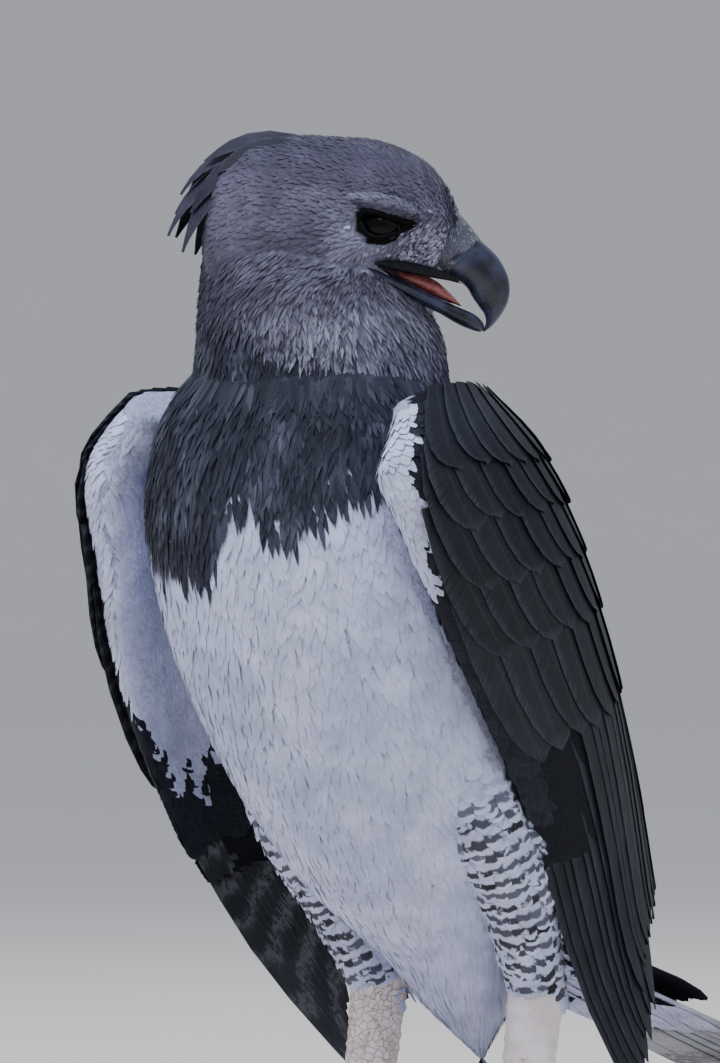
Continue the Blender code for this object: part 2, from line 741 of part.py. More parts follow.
def tail_vanes(chance):
    """Twelve long feathers, the middle pair on top, with short feathers over and under their roots."""
    shapes = []
    across = np.array([1.0, 0.0, 0.0])
    for k in range(TAIL_FEATHERS):
        place = (k + 0.5) / TAIL_FEATHERS * 2.0 - 1.0
        layer = abs(k - (TAIL_FEATHERS - 1) / 2.0) + (0.5 if place > 0 else 0.0)
        q = place * 0.80
        end = 1.0 - 0.045 * place**2 + 0.004 * chance.uniform(-1.0, 1.0)
        drop = np.array([0.0, 0.0, TAIL_STEP * layer])
        places = (0.10, 0.5 * (0.10 + end), end)
        root, middle, tip = (tail_line(np.array(s), np.array(q)) - drop for s in places)
        root = root - np.array([0.0, 0.0, TAIL_ROOT_DEPTH - 0.45 * drop[2]])
        bend = 2.0 * middle - 0.5 * (root + tip)
        lean = np.array([1.0, 0.0, -2.0 * TAIL_ROOF * q / 0.055])
        shapes.append(free_vane(root, bend, tip, TAIL_FEATHER_HALF, TAIL_THICKNESS, lean))
    for q, above, half in TAIL_COVERTS:
        places = (0.015, 0.19, 0.38 - 0.06 * abs(q))
        root, middle, tip = (tail_line(np.array(s), np.array(q)) for s in places)
        lift = np.array([0.0, 0.0, above])
        root = root - np.array([0.0, 0.0, TAIL_ROOT_DEPTH])
        bend = 2.0 * (middle + lift) - 0.5 * (root + tip + lift)
        shapes.append(free_vane(root, bend, tip + lift, half, 0.0011, across))
    return shapes


def tail_under_vanes():
    """Two broad soft feathers under the root of the tail."""
    shapes = []
    for q in (-0.42, 0.44):
        places = (0.04, 0.20, 0.36)
        root, middle, tip = (tail_line(np.array(s), np.array(q)) for s in places)
        below = np.array([0.0, 0.0, 0.0125 + 0.0016 * q])
        bend = 2.0 * middle - 0.5 * (root + tip) - below * 1.45
        across = np.array([1.0, 0.0, 0.0])
        shapes.append(free_vane(root - below * 0.6, bend, tip - below, 0.0200, 0.0012, across))
    return shapes


def crest_vanes():
    """The crest's feathers on both sides and the one in the middle."""
    shapes = []
    for side in (LEFT, RIGHT):
        flip = np.array([1.0, side, 1.0])
        for root, bend, tip, half in CREST:
            lean = np.array([0.0, 1.0, -side * root[1] / 0.045])
            shapes.append((root * flip, bend * flip, tip * flip, half, lean))
    root, bend, tip, half = CREST_MIDDLE
    shapes.append((root, bend, tip, half, np.array([0.0, 1.0, 0.0])))
    made = []
    for root, bend, tip, half, lean in shapes:
        points, faces = free_vane(root, bend, tip, half, 0.0009, lean, camber=0.0012)
        made.append((in_world(points), faces))
    return made


def face_tube(rows, side, count, sides):
    """A tube given in the head's own directions, mirrored to one side."""
    rows = np.array(rows)
    places = np.linspace(0.0, 1.0, len(rows))
    rows = curve(np.column_stack([places, rows]), np.linspace(0.0, 1.0, count))
    line = in_world(rows[:, :3] * np.array([1.0, side, 1.0]))
    return swept_tube(line, rows[:, 3], rows[:, 4], sides)


def scaled_tube(centres, half_side, half_up, sides, plates, front):
    """Tube whose front is covered by raised plates, each one lapping over the next."""
    rows = len(centres)
    share = np.linspace(0.0, 1.0, 2 * plates + 1)
    share[1::2] = share[2::2] - 0.12 / plates
    old = np.linspace(0.0, 1.0, rows)
    line = np.column_stack([np.interp(share, old, centres[:, a]) for a in range(3)])
    side_size, up_size = np.interp(share, old, half_side), np.interp(share, old, half_up)
    step = np.where(np.arange(len(share)) % 2 == 1, 1.0, 0.0)
    along = unit(np.gradient(line, axis=0))
    side = unit(np.cross(np.asarray(front, float), along))
    lift = np.cross(along, side)
    angle = around(sides)[None, :]
    raised = SCUTE_STEP * step[:, None] * np.clip(np.cos(angle) * 1.6 + 0.2, 0.0, 1.0)
    across = np.sin(angle) * (side_size[:, None] + raised)
    depth = np.cos(angle) * (up_size[:, None] + raised)
    grid = line[:, None] + side[:, None] * across[..., None] + lift[:, None] * depth[..., None]
    return tube(grid)


def claw_shape(start, way, length, radius):
    """Curved cone that leaves the toe and bends down until its tip is just above the floor."""
    bend = length / CLAW_TURN
    drop = (CLAW_TIP_HEIGHT - start[2]) / (2.0 * bend * math.sin(CLAW_TURN / 2.0))
    begin = CLAW_TURN / 2.0 + math.asin(max(-1.0, drop))
    s = np.linspace(0.0, 1.0, 7)
    angle = begin - CLAW_TURN * s
    out = bend * (math.sin(begin) - np.sin(angle))
    rise = bend * (np.cos(angle) - math.cos(begin))
    centres = np.asarray(start) + np.outer(out, way) + np.outer(rise, (0.0, 0.0, 1.0))
    size = radius * (1.0 - s) ** 0.75 + 0.0004
    side = np.cross(way, (0.0, 0.0, 1.0))
    along = unit(np.gradient(centres, axis=0))
    lift = np.cross(side, along)
    angle = around(6)[None, :, None]
    grid = centres[:, None] + side * np.sin(angle) * size[:, None, None] * 0.85
    return tube(grid + lift[:, None] * np.cos(angle) * size[:, None, None])


def ball(centre, radius, segments=14, rings=9):
    """Round solid with poles up and down."""
    polar = np.linspace(0.08, math.pi - 0.08, rings)[:, None, None]
    angle = around(segments)[None, :, None]
    level = np.sin(polar)
    ring = np.concatenate(
        [level * np.cos(angle), level * np.sin(angle), np.cos(polar) + 0 * angle],
        axis=-1,
    )
    return tube(np.asarray(centre, float) + ring * radius)


def foot_shapes(side, foot):
    """Toes with their plates and pads, and the claw on each toe."""
    toes, claws = [], {}
    for name, (turn, length, radius, claw, claw_radius) in TOES.items():
        way = np.array([side * math.sin(math.radians(turn)), -math.cos(math.radians(turn)), 0.0])
        s = np.linspace(0.0, 1.0, 8)
        centres = foot + np.outer(s * length, way)
        centres[:, 2] = 0.0175 - 0.0030 * s + 0.0010 * np.sin(s * 3.0 * math.pi)
        size = radius * (1.0 - 0.22 * s)
        size[-1] *= 0.80
        plates = 4 if name == "middle" else 3
        toes.append(scaled_tube(centres, size, size * 0.95, 8, plates, (0.0, 0.0, 1.0)))
        for share in (0.45, 0.88) if name == "middle" else (0.86,):
            pad = foot + way * length * share
            toes.append(ball((pad[0], pad[1], PAD_HEIGHT), PAD_RADIUS * (1.0 - 0.22 * share), 8, 4))
        root = foot + way * (length - 0.006)
        claws[name] = claw_shape((root[0], root[1], 0.0165), way, claw, claw_radius)
    toes.append(ball((foot[0], foot[1], 0.0150), 0.0200, 10, 6))
    return toes, claws


def add_head(shop):
    """Head with brow, lids and crest, its bill, tongue and eyes, and the neck below it."""
    head = shop.solid("head", tube(in_world(head_grid())), "grey_feather")
    forms = crest_vanes()
    for side in (LEFT, RIGHT):
        forms.append(face_tube(BROW, side, 6, 7))
        forms += [face_tube(lid, side, 5, 5) for lid in LIDS]
    shop.fuse(head, forms)
    cere = shop.solid("cere", tube(in_world(bill_grid(CERE, 4, 12))), "cere")
    for side in (LEFT, RIGHT):
        shop.cut(cere, face_tube(NOSTRIL, side, 5, 6))
    upper = shop.solid("upper_bill", tube(in_world(bill_grid(UPPER_BILL, 11, 12))), "horn")
    jaw = bill_grid(LOWER_BILL, 7, 12, ridge=0.0, trough=1.1)
    lower = shop.solid("lower_bill", tube(in_world(jaw)), "horn")
    rows = curve(TONGUE, np.linspace(0.0, 1.0, 6))
    line = in_world(np.column_stack([rows[:, 0], np.zeros(6), rows[:, 1]]))
    tongue = shop.solid("tongue", swept_tube(line, rows[:, 2], rows[:, 3], 8), "tongue")
    for name, side in SIDES.items():
        place = in_world(np.array([EYE_PLACE]) * np.array([1.0, side, 1.0]))[0]
        eye = shop.solid(f"eye_{name}", ball(place, EYE_RADIUS, 12, 7), "eye")
        shop.carve(head, eye)
    shop.cut(head, mouth_wedge())
    shop.carve(cere, upper)
    shop.carve(head, cere, lower, upper)
    shop.carve(lower, tongue)
    shop.carve(head, tongue)
    neck = shop.solid("neck", tube(neck_grid()), "slate_feather")
    shop.carve(neck, bpy.data.objects["torso"], head, lower, tongue)


def add_leg(shop, name, side, envelope):
    """Feathered thigh, scaly shank, foot and claws of one side."""
    torso = bpy.data.objects["torso"]
    rows = curve(THIGH, np.linspace(0.0, 1.0, 8))
    centres = rows[:, :3] * np.array([side, 1.0, 1.0])
    centres[:, 1] += ANKLE_Y[name] * np.linspace(0.0, 1.0, 8)
    shape = swept_tube(centres, rows[:, 3], rows[:, 4], 14, (0.0, 1.0, 0.0))
    thigh = shop.solid(f"thigh_{name}", shape, "white_feather")
    t = np.linspace(0.0, 1.0, 8)
    rows = curve(TARSUS, t)
    centres = np.column_stack(
        [
            np.full(8, side * LEG_X),
            ANKLE_Y[name] - TARSUS_FORWARD * t,
            TARSUS_TOP + (TARSUS_FOOT - TARSUS_TOP) * t,
        ]
    )
    shape = scaled_tube(centres, rows[:, 0], rows[:, 1], 12, TARSUS_SCUTES, (0.0, -1.0, 0.0))
    tarsus = shop.solid(f"tarsus_{name}", shape, "scaly_skin")
    toes, claws = foot_shapes(side, centres[-1])
    foot = shop.solid(f"foot_{name}", toes.pop(), "scaly_skin")
    shop.fuse(foot, toes)
    shop.cut(foot, shop.box((-1.0, -1.0, -1.0), (1.0, 1.0, 0.0)))
    for toe, shape in claws.items():
        claw = shop.solid(f"claw_{name}_{toe}", shape, "horn")
        shop.carve(foot, claw)
    shop.carve(thigh, torso)
    shop.carve(thigh, envelope, reach=WING_CLEARANCE)
    shop.carve(tarsus, torso, thigh, foot)


def build():
    """Builds every named solid."""
    shop = Workshop()
    chance = np.random.default_rng(7)
    torso = shop.solid("torso", tube(torso_grid()), "white_feather")
    add_head(shop)
    for name, side in SIDES.items():
        table = LEFT_WING if side == LEFT else RIGHT_WING
        plate = wing_plate(table, side, 1.0, 14, 7, 0.0)
        envelope = shop.solid("envelope", plate, "slate_feather", shop.scraps)
        add_leg(shop, name, side, envelope)
        bpy.data.objects.remove(envelope, do_unlink=True)
        core = wing_plate(table, side, WING_CORE_END, 10, 6, WING_CORE_DEPTH)
        wing = shop.solid(f"wing_{name}", core, "slate_feather")
        shop.fuse(wing, wing_vanes(table, side, chance))
        shop.carve(wing, torso, bpy.data.objects["neck"])
    tail = shop.solid("tail", tail_core(), "slate_feather")
    shop.fuse(tail, tail_vanes(chance) + tail_under_vanes())
    shop.carve(tail, torso)


def settle():
    """Moves the model so that the origin is the middle of its footprint at floor level."""
    objects = [o for o in bpy.data.objects if not o.hide_render]
    points = np.vstack([[v.co[:] for v in o.data.vertices] for o in objects])
    low, high = points.min(axis=0), points.max(axis=0)
    shift = Matrix.Translation((-(low[0] + high[0]) / 2.0, -(low[1] + high[1]) / 2.0, 0.0))
    for o in objects:
        o.data.transform(shift)
        o.data.shade_smooth()
        o.data.set_sharp_from_angle(angle=math.radians(40))


build()
settle()
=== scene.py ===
"""Looks of a life-size harpy eagle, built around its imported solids.

Every shape is a surface of two places: v runs with the lie of the feathers or against it, and u
runs round the form. Feathers are thin closed vanes laid on those surfaces. Lengths are metres.
"""

import sys

import logging
import math
from dataclasses import dataclass
from enum import Enum
from typing import Callable, Optional, Sequence, Union

import bmesh
import bpy
import numpy as np
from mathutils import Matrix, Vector
from mathutils.bvhtree import BVHTree

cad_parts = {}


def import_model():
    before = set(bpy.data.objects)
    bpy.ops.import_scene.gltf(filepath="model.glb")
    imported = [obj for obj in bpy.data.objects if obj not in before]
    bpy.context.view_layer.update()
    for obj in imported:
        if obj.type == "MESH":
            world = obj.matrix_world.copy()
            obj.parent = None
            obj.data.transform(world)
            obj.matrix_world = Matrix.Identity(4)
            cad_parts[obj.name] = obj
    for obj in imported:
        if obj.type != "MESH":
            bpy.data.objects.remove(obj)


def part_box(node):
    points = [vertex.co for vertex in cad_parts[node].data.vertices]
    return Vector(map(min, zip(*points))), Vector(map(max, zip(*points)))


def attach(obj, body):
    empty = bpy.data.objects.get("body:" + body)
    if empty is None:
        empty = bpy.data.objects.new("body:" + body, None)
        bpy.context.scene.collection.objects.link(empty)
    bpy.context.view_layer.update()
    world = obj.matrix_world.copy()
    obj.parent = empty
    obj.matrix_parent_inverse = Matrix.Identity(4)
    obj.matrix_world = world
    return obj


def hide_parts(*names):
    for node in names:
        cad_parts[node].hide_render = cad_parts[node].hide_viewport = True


Array = np.ndarray
Generator = np.random.Generator
Mesh = bpy.types.Mesh
Object = bpy.types.Object
Material = bpy.types.Material
Socket = bpy.types.NodeSocket
Marks = tuple[Array, Union[Array, float], Union[Array, float]]
LOG = logging.getLogger("harpy_eagle")
BODY = "root"
SEED = 11
# Side of a small feather's patch on the bake map.
PATCH = 0.003
# Grain of the skin's remesh, and how far down the wings it goes.
VOXEL = 0.00268
WING_SKIN_END = 0.74
# A root counts when it is this near the skin, and the air is clear from this height.
SKIN_NEAR = 0.0032
CLEAR_START = 0.0022


class Side(Enum):
    """A side of the bird, with the sign of X there."""

    LEFT = 1
    RIGHT = -1

    @property
    def word(self) -> str:
        """The side's name in piece and node names."""
        return self.name.lower()


# Working out curves and meshes.


def curve(rows: Sequence, t: Array) -> Array:
    """Smooth curve through rows: cubic pieces whose slope at a row is the mean of its neighbours'.

    Args:
        rows: Rows whose first column is the place and whose others are values.
        t: Places of any shape.

    Returns:
        The values, with one axis more than the places.
    """
    table = np.asarray(rows, float)
    knots, values = table[:, 0], table[:, 1:]
    slopes = np.gradient(values, knots, axis=0)
    t = np.clip(np.asarray(t, float), knots[0], knots[-1])
    i = np.clip(np.searchsorted(knots, t, side="right") - 1, 0, len(knots) - 2)
    span = (knots[i + 1] - knots[i])[..., None]
    s = (t[..., None] - knots[i][..., None]) / span
    return (
        (2 * s**3 - 3 * s**2 + 1) * values[i]
        + (s**3 - 2 * s**2 + s) * span * slopes[i]
        + (3 * s**2 - 2 * s**3) * values[i + 1]
        + (s**3 - s**2) * span * slopes[i + 1]
    )


def unit(vectors: Array) -> Array:
    """The same directions at length one."""
    return vectors / np.maximum(np.linalg.norm(vectors, axis=-1, keepdims=True), 1e-12)


def signed_power(value: Array, power: float) -> Array:
    """A power that keeps the sign, for rounded squares."""
    return np.sign(value) * np.abs(value) ** power


def dot(a: Array, b: Array) -> Array:
    """Dot product along the last axis."""
    return (a * b).sum(axis=-1)


def smooth(value: Array, low: float, high: float) -> Array:
    """Goes from 0 at low to 1 at high along a cubic with level ends."""
    s = np.clip((value - low) / (high - low), 0.0, 1.0)
    return s * s * (3.0 - 2.0 * s)


def turns(count: int) -> Array:
    """Angles of one whole turn, evenly apart."""
    return np.linspace(0.0, 2.0 * math.pi, count, endpoint=False)


def evenly(rows: Sequence) -> Array:
    """A table's rows with even places from 0 to 1 put before them."""
    return np.column_stack([np.linspace(0.0, 1.0, len(rows)), np.array(rows)])


def wobble(points: Array, scale: float, seed: float = 0.0) -> Array:
    """Soft noise from about -1 to 1: the sum of nine sine waves that cross at odd angles.

    Args:
        points: Places.
        scale: Length of the longest wave, over a full turn.
        seed: Picks another noise.

    Returns:
        One number for each place.
    """
    p = np.asarray(points, float) / scale
    total = np.zeros(p.shape[:-1])
    for k in range(9):
        a = seed + k * 2.39996
        way = np.array([math.cos(a), math.sin(a * 1.7), math.cos(a * 0.6 + 1.0)])
        total += np.sin(p @ way * (1.0 + 0.31 * k) + 3.1 * k + seed)
    return total / 4.5


def grid_faces(rows: int, columns: int, closed: bool) -> Array:
    """Quads of a grid, each turned the same way.

    Args:
        rows: Points along the first axis.
        columns: Points along the second axis.
        closed: Whether the last column joins the first.

    Returns:
        Four corner numbers per face.
    """
    i = np.arange(rows - 1)[:, None]
    j = np.arange(columns if closed else columns - 1)[None, :]
    k = (j + 1) % columns
    a, b = i * columns + j, i * columns + k
    return np.stack([a, b, b + columns, a + columns], axis=-1).reshape(-1, 4)


def loft(grid: Array) -> tuple[Array, Array, Array]:
    """A closed tube from rings, each end drawn to its middle.

    Args:
        grid: Rings of points, in order.

    Returns:
        Points, quads and triangles.
    """
    rings, sides = grid.shape[:2]
    quads = grid_faces(rings, sides, True)
    ends = np.array([grid[0].mean(axis=0), grid[-1].mean(axis=0)])
    points = np.vstack([grid.reshape(-1, 3), ends])
    j = np.arange(sides)
    k = (j + 1) % sides
    first = np.stack([np.full(sides, rings * sides), k, j], axis=-1)
    base = (rings - 1) * sides
    last = np.stack([np.full(sides, rings * sides + 1), base + j, base + k], axis=-1)
    triangles = np.vstack([first, last])
    corners = points[quads[:, :3]]
    volume = dot(corners[:, 0], np.cross(corners[:, 1], corners[:, 2])).sum()
    if volume < 0:
        quads, triangles = quads[:, ::-1], triangles[:, ::-1]
    return points, quads, triangles


def joined(lofts: Sequence) -> tuple[Array, Array, Array]:
    """Several lofts as one.

    Args:
        lofts: Points, quads and triangles of each.

    Returns:
        Points, quads and triangles of all.
    """
    first = np.cumsum([0] + [len(points) for points, _, _ in lofts[:-1]])
    quads = np.vstack([q + n for (_, q, _), n in zip(lofts, first)])
    triangles = np.vstack([t + n for (_, _, t), n in zip(lofts, first)])
    return np.vstack([points for points, _, _ in lofts]), quads, triangles


def make_mesh(
    name: str, points: Array, quads: Array, triangles: Optional[Array] = None
) -> Mesh:
    """A mesh from arrays, written in whole blocks.

    Args:
        name: Name of the mesh.
        points: Corner places.
        quads: Faces of four corners.
        triangles: Faces of three corners, or none.

    Returns:
        The new mesh.
    """
    triangles = np.zeros((0, 3), int) if triangles is None else triangles
    mesh = bpy.data.meshes.new(name)
    corners = np.concatenate([quads.ravel(), triangles.ravel()]).astype(np.int32)
    count = len(quads) + len(triangles)
    starts = np.concatenate(
        [np.arange(len(quads)) * 4, len(quads) * 4 + np.arange(len(triangles)) * 3]
    ).astype(np.int32)
    mesh.vertices.add(len(points))
    mesh.vertices.foreach_set("co", np.asarray(points, np.float32).ravel())
    mesh.loops.add(len(corners))
    mesh.loops.foreach_set("vertex_index", corners)
    mesh.polygons.add(count)
    mesh.polygons.foreach_set("loop_start", starts)
    mesh.update(calc_edges=True)
    mesh.validate()
    mesh.polygons.foreach_set("use_smooth", np.ones(count, bool))
    return mesh


def add_piece(mesh: Mesh, material: Material) -> Object:
    """Links a mesh to the scene as a piece of the bird, with one material.

    Args:
        mesh: The mesh, whose name the piece takes.
        material: Its finish.

    Returns:
        The piece.
    """
    mesh.materials.append(material)
    return link(mesh.name, mesh)


def link(name: str, data: bpy.types.ID) -> Object:
    """A new object of the scene around a mesh, light or camera.

    Args:
        name: Name of the object.
        data: The mesh, light or camera.

    Returns:
        The object.
    """
    obj = bpy.data.objects.new(name, data)
    bpy.context.scene.collection.objects.link(obj)
    return obj


def corner_uv(mesh: Mesh, name: str, places: Array) -> None:
    """Gives a mesh a UV map whose corners take the place of their point.

    Args:
        mesh: The mesh.
        name: Name of the map.
        places: Place of each point on the map.
    """
    layer = mesh.uv_layers.new(name=name)
    index = np.empty(len(mesh.loops), np.int32)
    mesh.loops.foreach_get("vertex_index", index)
    layer.data.foreach_set("uv", places[index].astype(np.float32).ravel())


def point_colour(mesh: Mesh, name: str, values: Array) -> None:
    """Gives a mesh a colour attribute on its points, with a share in its fourth column."""
    layer = mesh.attributes.new(name, "FLOAT_COLOR", "POINT")
    layer.data.foreach_set("color", np.asarray(values, np.float32).ravel())


# The bird's colours, as linear red, green and blue.


@dataclass(frozen=True)
class Plumage:
    """Colours of the feathers."""

    white: tuple = (0.60, 0.63, 0.86)
    belly_shade: tuple = (0.45, 0.48, 0.69)
    slate: tuple = (0.011, 0.0125, 0.019)
    breast: tuple = (0.015, 0.017, 0.028)
    # Silver-grey of paler feathers, and also the colour of the breast's painted sheen.
    silver: tuple = (0.125, 0.132, 0.19)
    crown: tuple = (0.056, 0.052, 0.082)
    head: tuple = (0.108, 0.101, 0.150)
    face: tuple = (0.31, 0.31, 0.43)
    throat: tuple = (0.27, 0.275, 0.36)
    tail_bar: tuple = (0.16, 0.155, 0.165)
    tail_under: tuple = (0.42, 0.42, 0.46)
    brow: tuple = (0.19, 0.185, 0.26)
    fleck: tuple = (0.56, 0.56, 0.70)
    # Near-black of the eye's rim, also painted as shade in the hollow round the eye.
    eye_rim: tuple = (0.006, 0.006, 0.008)


PLUMAGE = Plumage()


def blend(a: Sequence, b: Sequence, share: Array) -> Array:
    """A colour part of the way from one to another."""
    share = np.asarray(share)[..., None]
    return np.asarray(a) * (1.0 - share) + np.asarray(b) * share


# The forms of the body. Tables are in the source's own place, and a shift moves the pieces to the
# frame. Rings give a place along, a centre, and half widths and depths.

TORSO = [
    (0.00, -0.106, 0.462, 0.060, 0.060, 0.054),
    (0.12, -0.110, 0.428, 0.086, 0.078, 0.068),
    (0.27, -0.110, 0.385, 0.098, 0.090, 0.078),
    (0.42, -0.100, 0.335, 0.098, 0.088, 0.078),
    (0.57, -0.078, 0.283, 0.092, 0.082, 0.074),
    (0.72, -0.047, 0.232, 0.082, 0.074, 0.068),
    (0.84, -0.014, 0.184, 0.066, 0.062, 0.066),
    (0.92, 0.004, 0.146, 0.048, 0.042, 0.058),
    (0.97, 0.013, 0.113, 0.029, 0.026, 0.030),
    (1.00, 0.020, 0.088, 0.010, 0.009, 0.010),
]
NECK = [
    (0.00, 0.000, -0.110, 0.420, 0.072, 0.068),
    (0.30, 0.001, -0.114, 0.448, 0.070, 0.067),
    (0.55, 0.001, -0.115, 0.468, 0.067, 0.065),
    (0.80, -0.003, -0.118, 0.491, 0.0600, 0.0590),
    (1.00, -0.011, -0.122, 0.517, 0.0480, 0.0480),
]
HEAD_CENTRE = np.array([0.010, -0.112, 0.527])
HEAD_TURN = math.radians(32)
HEAD = [
    (-0.0715, -0.012, 0.010, 0.010),
    (-0.0660, -0.010, 0.030, 0.028),
    (-0.0500, -0.004, 0.046, 0.042),
    (-0.0250, -0.002, 0.0505, 0.0480),
    (0.0000, -0.003, 0.0510, 0.0480),
    (0.0220, -0.003, 0.0490, 0.0445),
    (0.0400, -0.006, 0.0455, 0.0385),
    (0.0550, -0.0095, 0.0380, 0.0295),
    (0.0660, -0.015, 0.0240, 0.0180),
    (0.0700, -0.017, 0.0120, 0.0110),
]
EYE_PLACE = np.array([0.0285, 0.0312, -0.0020])
EYE_RADIUS = 0.0112
HEAD_FORMS = [
    ((0.0280, 0.0400, -0.0035), (0.0150, 0.0150, 0.0085), (0.0000, -0.0062, 0.0000)),
    ((0.0480, 0.0300, -0.0080), (0.0120, 0.0140, 0.0110), (0.0000, -0.0036, 0.0000)),
]
BROW = [
    (0.0060, 0.0392, 0.0126, 0.0010, 0.0010),
    (0.0160, 0.0400, 0.0120, 0.0038, 0.0036),
    (0.0300, 0.0399, 0.0098, 0.0056, 0.0060),
    (0.0420, 0.0352, 0.0062, 0.0045, 0.0052),
    (0.0545, 0.0274, 0.0004, 0.0014, 0.0018),
]
LIDS = [
    [
        (0.0186, 0.0400, 0.0014, 0.0020, 0.0020),
        (0.0218, 0.0414, -0.0056, 0.0019, 0.0017),
        (0.0284, 0.0418, -0.0084, 0.0014, 0.0013),
        (0.0365, 0.0386, -0.0064, 0.0014, 0.0012),
        (0.0475, 0.0318, -0.0020, 0.0009, 0.0009),
    ],
    [
        (0.0184, 0.0400, 0.0010, 0.0020, 0.0020),
        (0.0212, 0.0418, 0.0052, 0.0022, 0.0020),
        (0.0285, 0.0426, 0.0044, 0.0019, 0.0018),
        (0.0375, 0.0390, 0.0016, 0.0019, 0.0018),
        (0.0480, 0.0318, -0.0012, 0.0013, 0.0012),
    ],
]
MOUTH = [(0.0258, -0.0226), (0.0950, -0.0340), (0.0950, -0.0800)]
CERE = [
    ((0.0600, 0.0120), (0.0380, -0.0235), 0.0125),
    ((0.0690, 0.0020), (0.0490, -0.0255), 0.0130),
    ((0.0772, -0.0085), (0.0600, -0.0280), 0.0124),
]
UPPER_BILL = [
    ((0.0738, -0.0052), (0.0572, -0.0270), 0.0112),
    ((0.0775, -0.0090), (0.0606, -0.0284), 0.0120),
    ((0.0856, -0.0168), (0.0663, -0.0312), 0.0112),
    ((0.0912, -0.0266), (0.0700, -0.0348), 0.0098),
    ((0.0926, -0.0346), (0.0728, -0.0394), 0.0082),
    ((0.0912, -0.0424), (0.0764, -0.0440), 0.0064),
    ((0.0872, -0.0494), (0.0792, -0.0478), 0.0045),
    ((0.0826, -0.0545), (0.0800, -0.0520), 0.0026),
    ((0.0788, -0.0572), (0.0786, -0.0562), 0.0009),
]
LOWER_BILL = [
    ((0.0205, -0.0200), (0.0225, -0.0275), 0.0325),
    ((0.0313, -0.0246), (0.0345, -0.0366), 0.0268),
    ((0.0410, -0.0292), (0.0428, -0.0418), 0.0216),
    ((0.0537, -0.0366), (0.0550, -0.0470), 0.0146),
    ((0.0648, -0.0412), (0.0656, -0.0534), 0.0100),
    ((0.0735, -0.0456), (0.0730, -0.0564), 0.0072),
    ((0.0782, -0.0510), (0.0770, -0.0572), 0.0040),
    ((0.0792, -0.0548), (0.0788, -0.0562), 0.0010),
]
TONGUE = [
    (0.00, 0.0270, -0.0244, 0.0110, 0.0020),
    (0.25, 0.0382, -0.0282, 0.0114, 0.0036),
    (0.50, 0.0468, -0.0312, 0.0098, 0.0044),
    (0.75, 0.0560, -0.0362, 0.0068, 0.0035),
    (1.00, 0.0668, -0.0430, 0.0012, 0.0006),
]
LIP = [
    (0.0258, 0.0338, -0.0216, 0.0011, 0.0008),
    (0.0325, 0.0310, -0.0222, 0.0016, 0.0020),
    (0.0400, 0.0264, -0.0232, 0.0017, 0.0027),
    (0.0475, 0.0196, -0.0247, 0.0017, 0.0029),
    (0.0545, 0.0149, -0.0264, 0.0015, 0.0025),
    (0.0612, 0.0119, -0.0283, 0.0012, 0.0018),
    (0.0668, 0.0104, -0.0308, 0.0008, 0.0008),
]
THIGH = [
    (0.00, 0.058, -0.064, 0.255, 0.030, 0.038),
    (0.30, 0.065, -0.050, 0.215, 0.027, 0.033),
    (0.60, 0.062, -0.024, 0.172, 0.0215, 0.0250),
    (0.85, 0.056, -0.008, 0.138, 0.0175, 0.0195),
    (1.00, 0.053, 0.002, 0.117, 0.0160, 0.0170),
]
ANKLE_Y = {Side.LEFT: 0.004, Side.RIGHT: 0.000}
TARSUS_TOP = 0.1240
TARSUS_FOOT = 0.0260
TARSUS_FORWARD = 0.0160
LEG_X = 0.053
TARSUS = [
    (0.00, 0.0150, 0.0165),
    (0.20, 0.0140, 0.0155),
    (0.60, 0.0138, 0.0150),
    (0.88, 0.0152, 0.0165),
    (1.00, 0.0165, 0.0180),
]


@dataclass(frozen=True)
class Toe:
    """One toe and its claw.

    Attributes:
        turn: Degrees outwards from straight ahead.
        length: Its length.
        radius: Its half width.
        claw: The claw's length along its arc.
        claw_radius: The claw's half width at its root.
        plates: Plates on top.
        pads: Places of the pads below, as shares of the length.
    """

    turn: float
    length: float
    radius: float
    claw: float
    claw_radius: float
    plates: int = 7
    pads: tuple = (0.86,)


TOES = {
    "middle": Toe(7.0, 0.084, 0.0125, 0.046, 0.0066, 9, (0.45, 0.88)),
    "inner": Toe(-23.0, 0.062, 0.0135, 0.058, 0.0078),
    "outer": Toe(44.0, 0.064, 0.0115, 0.040, 0.0058),
    "hind": Toe(172.0, 0.046, 0.0140, 0.078, 0.0088),
}
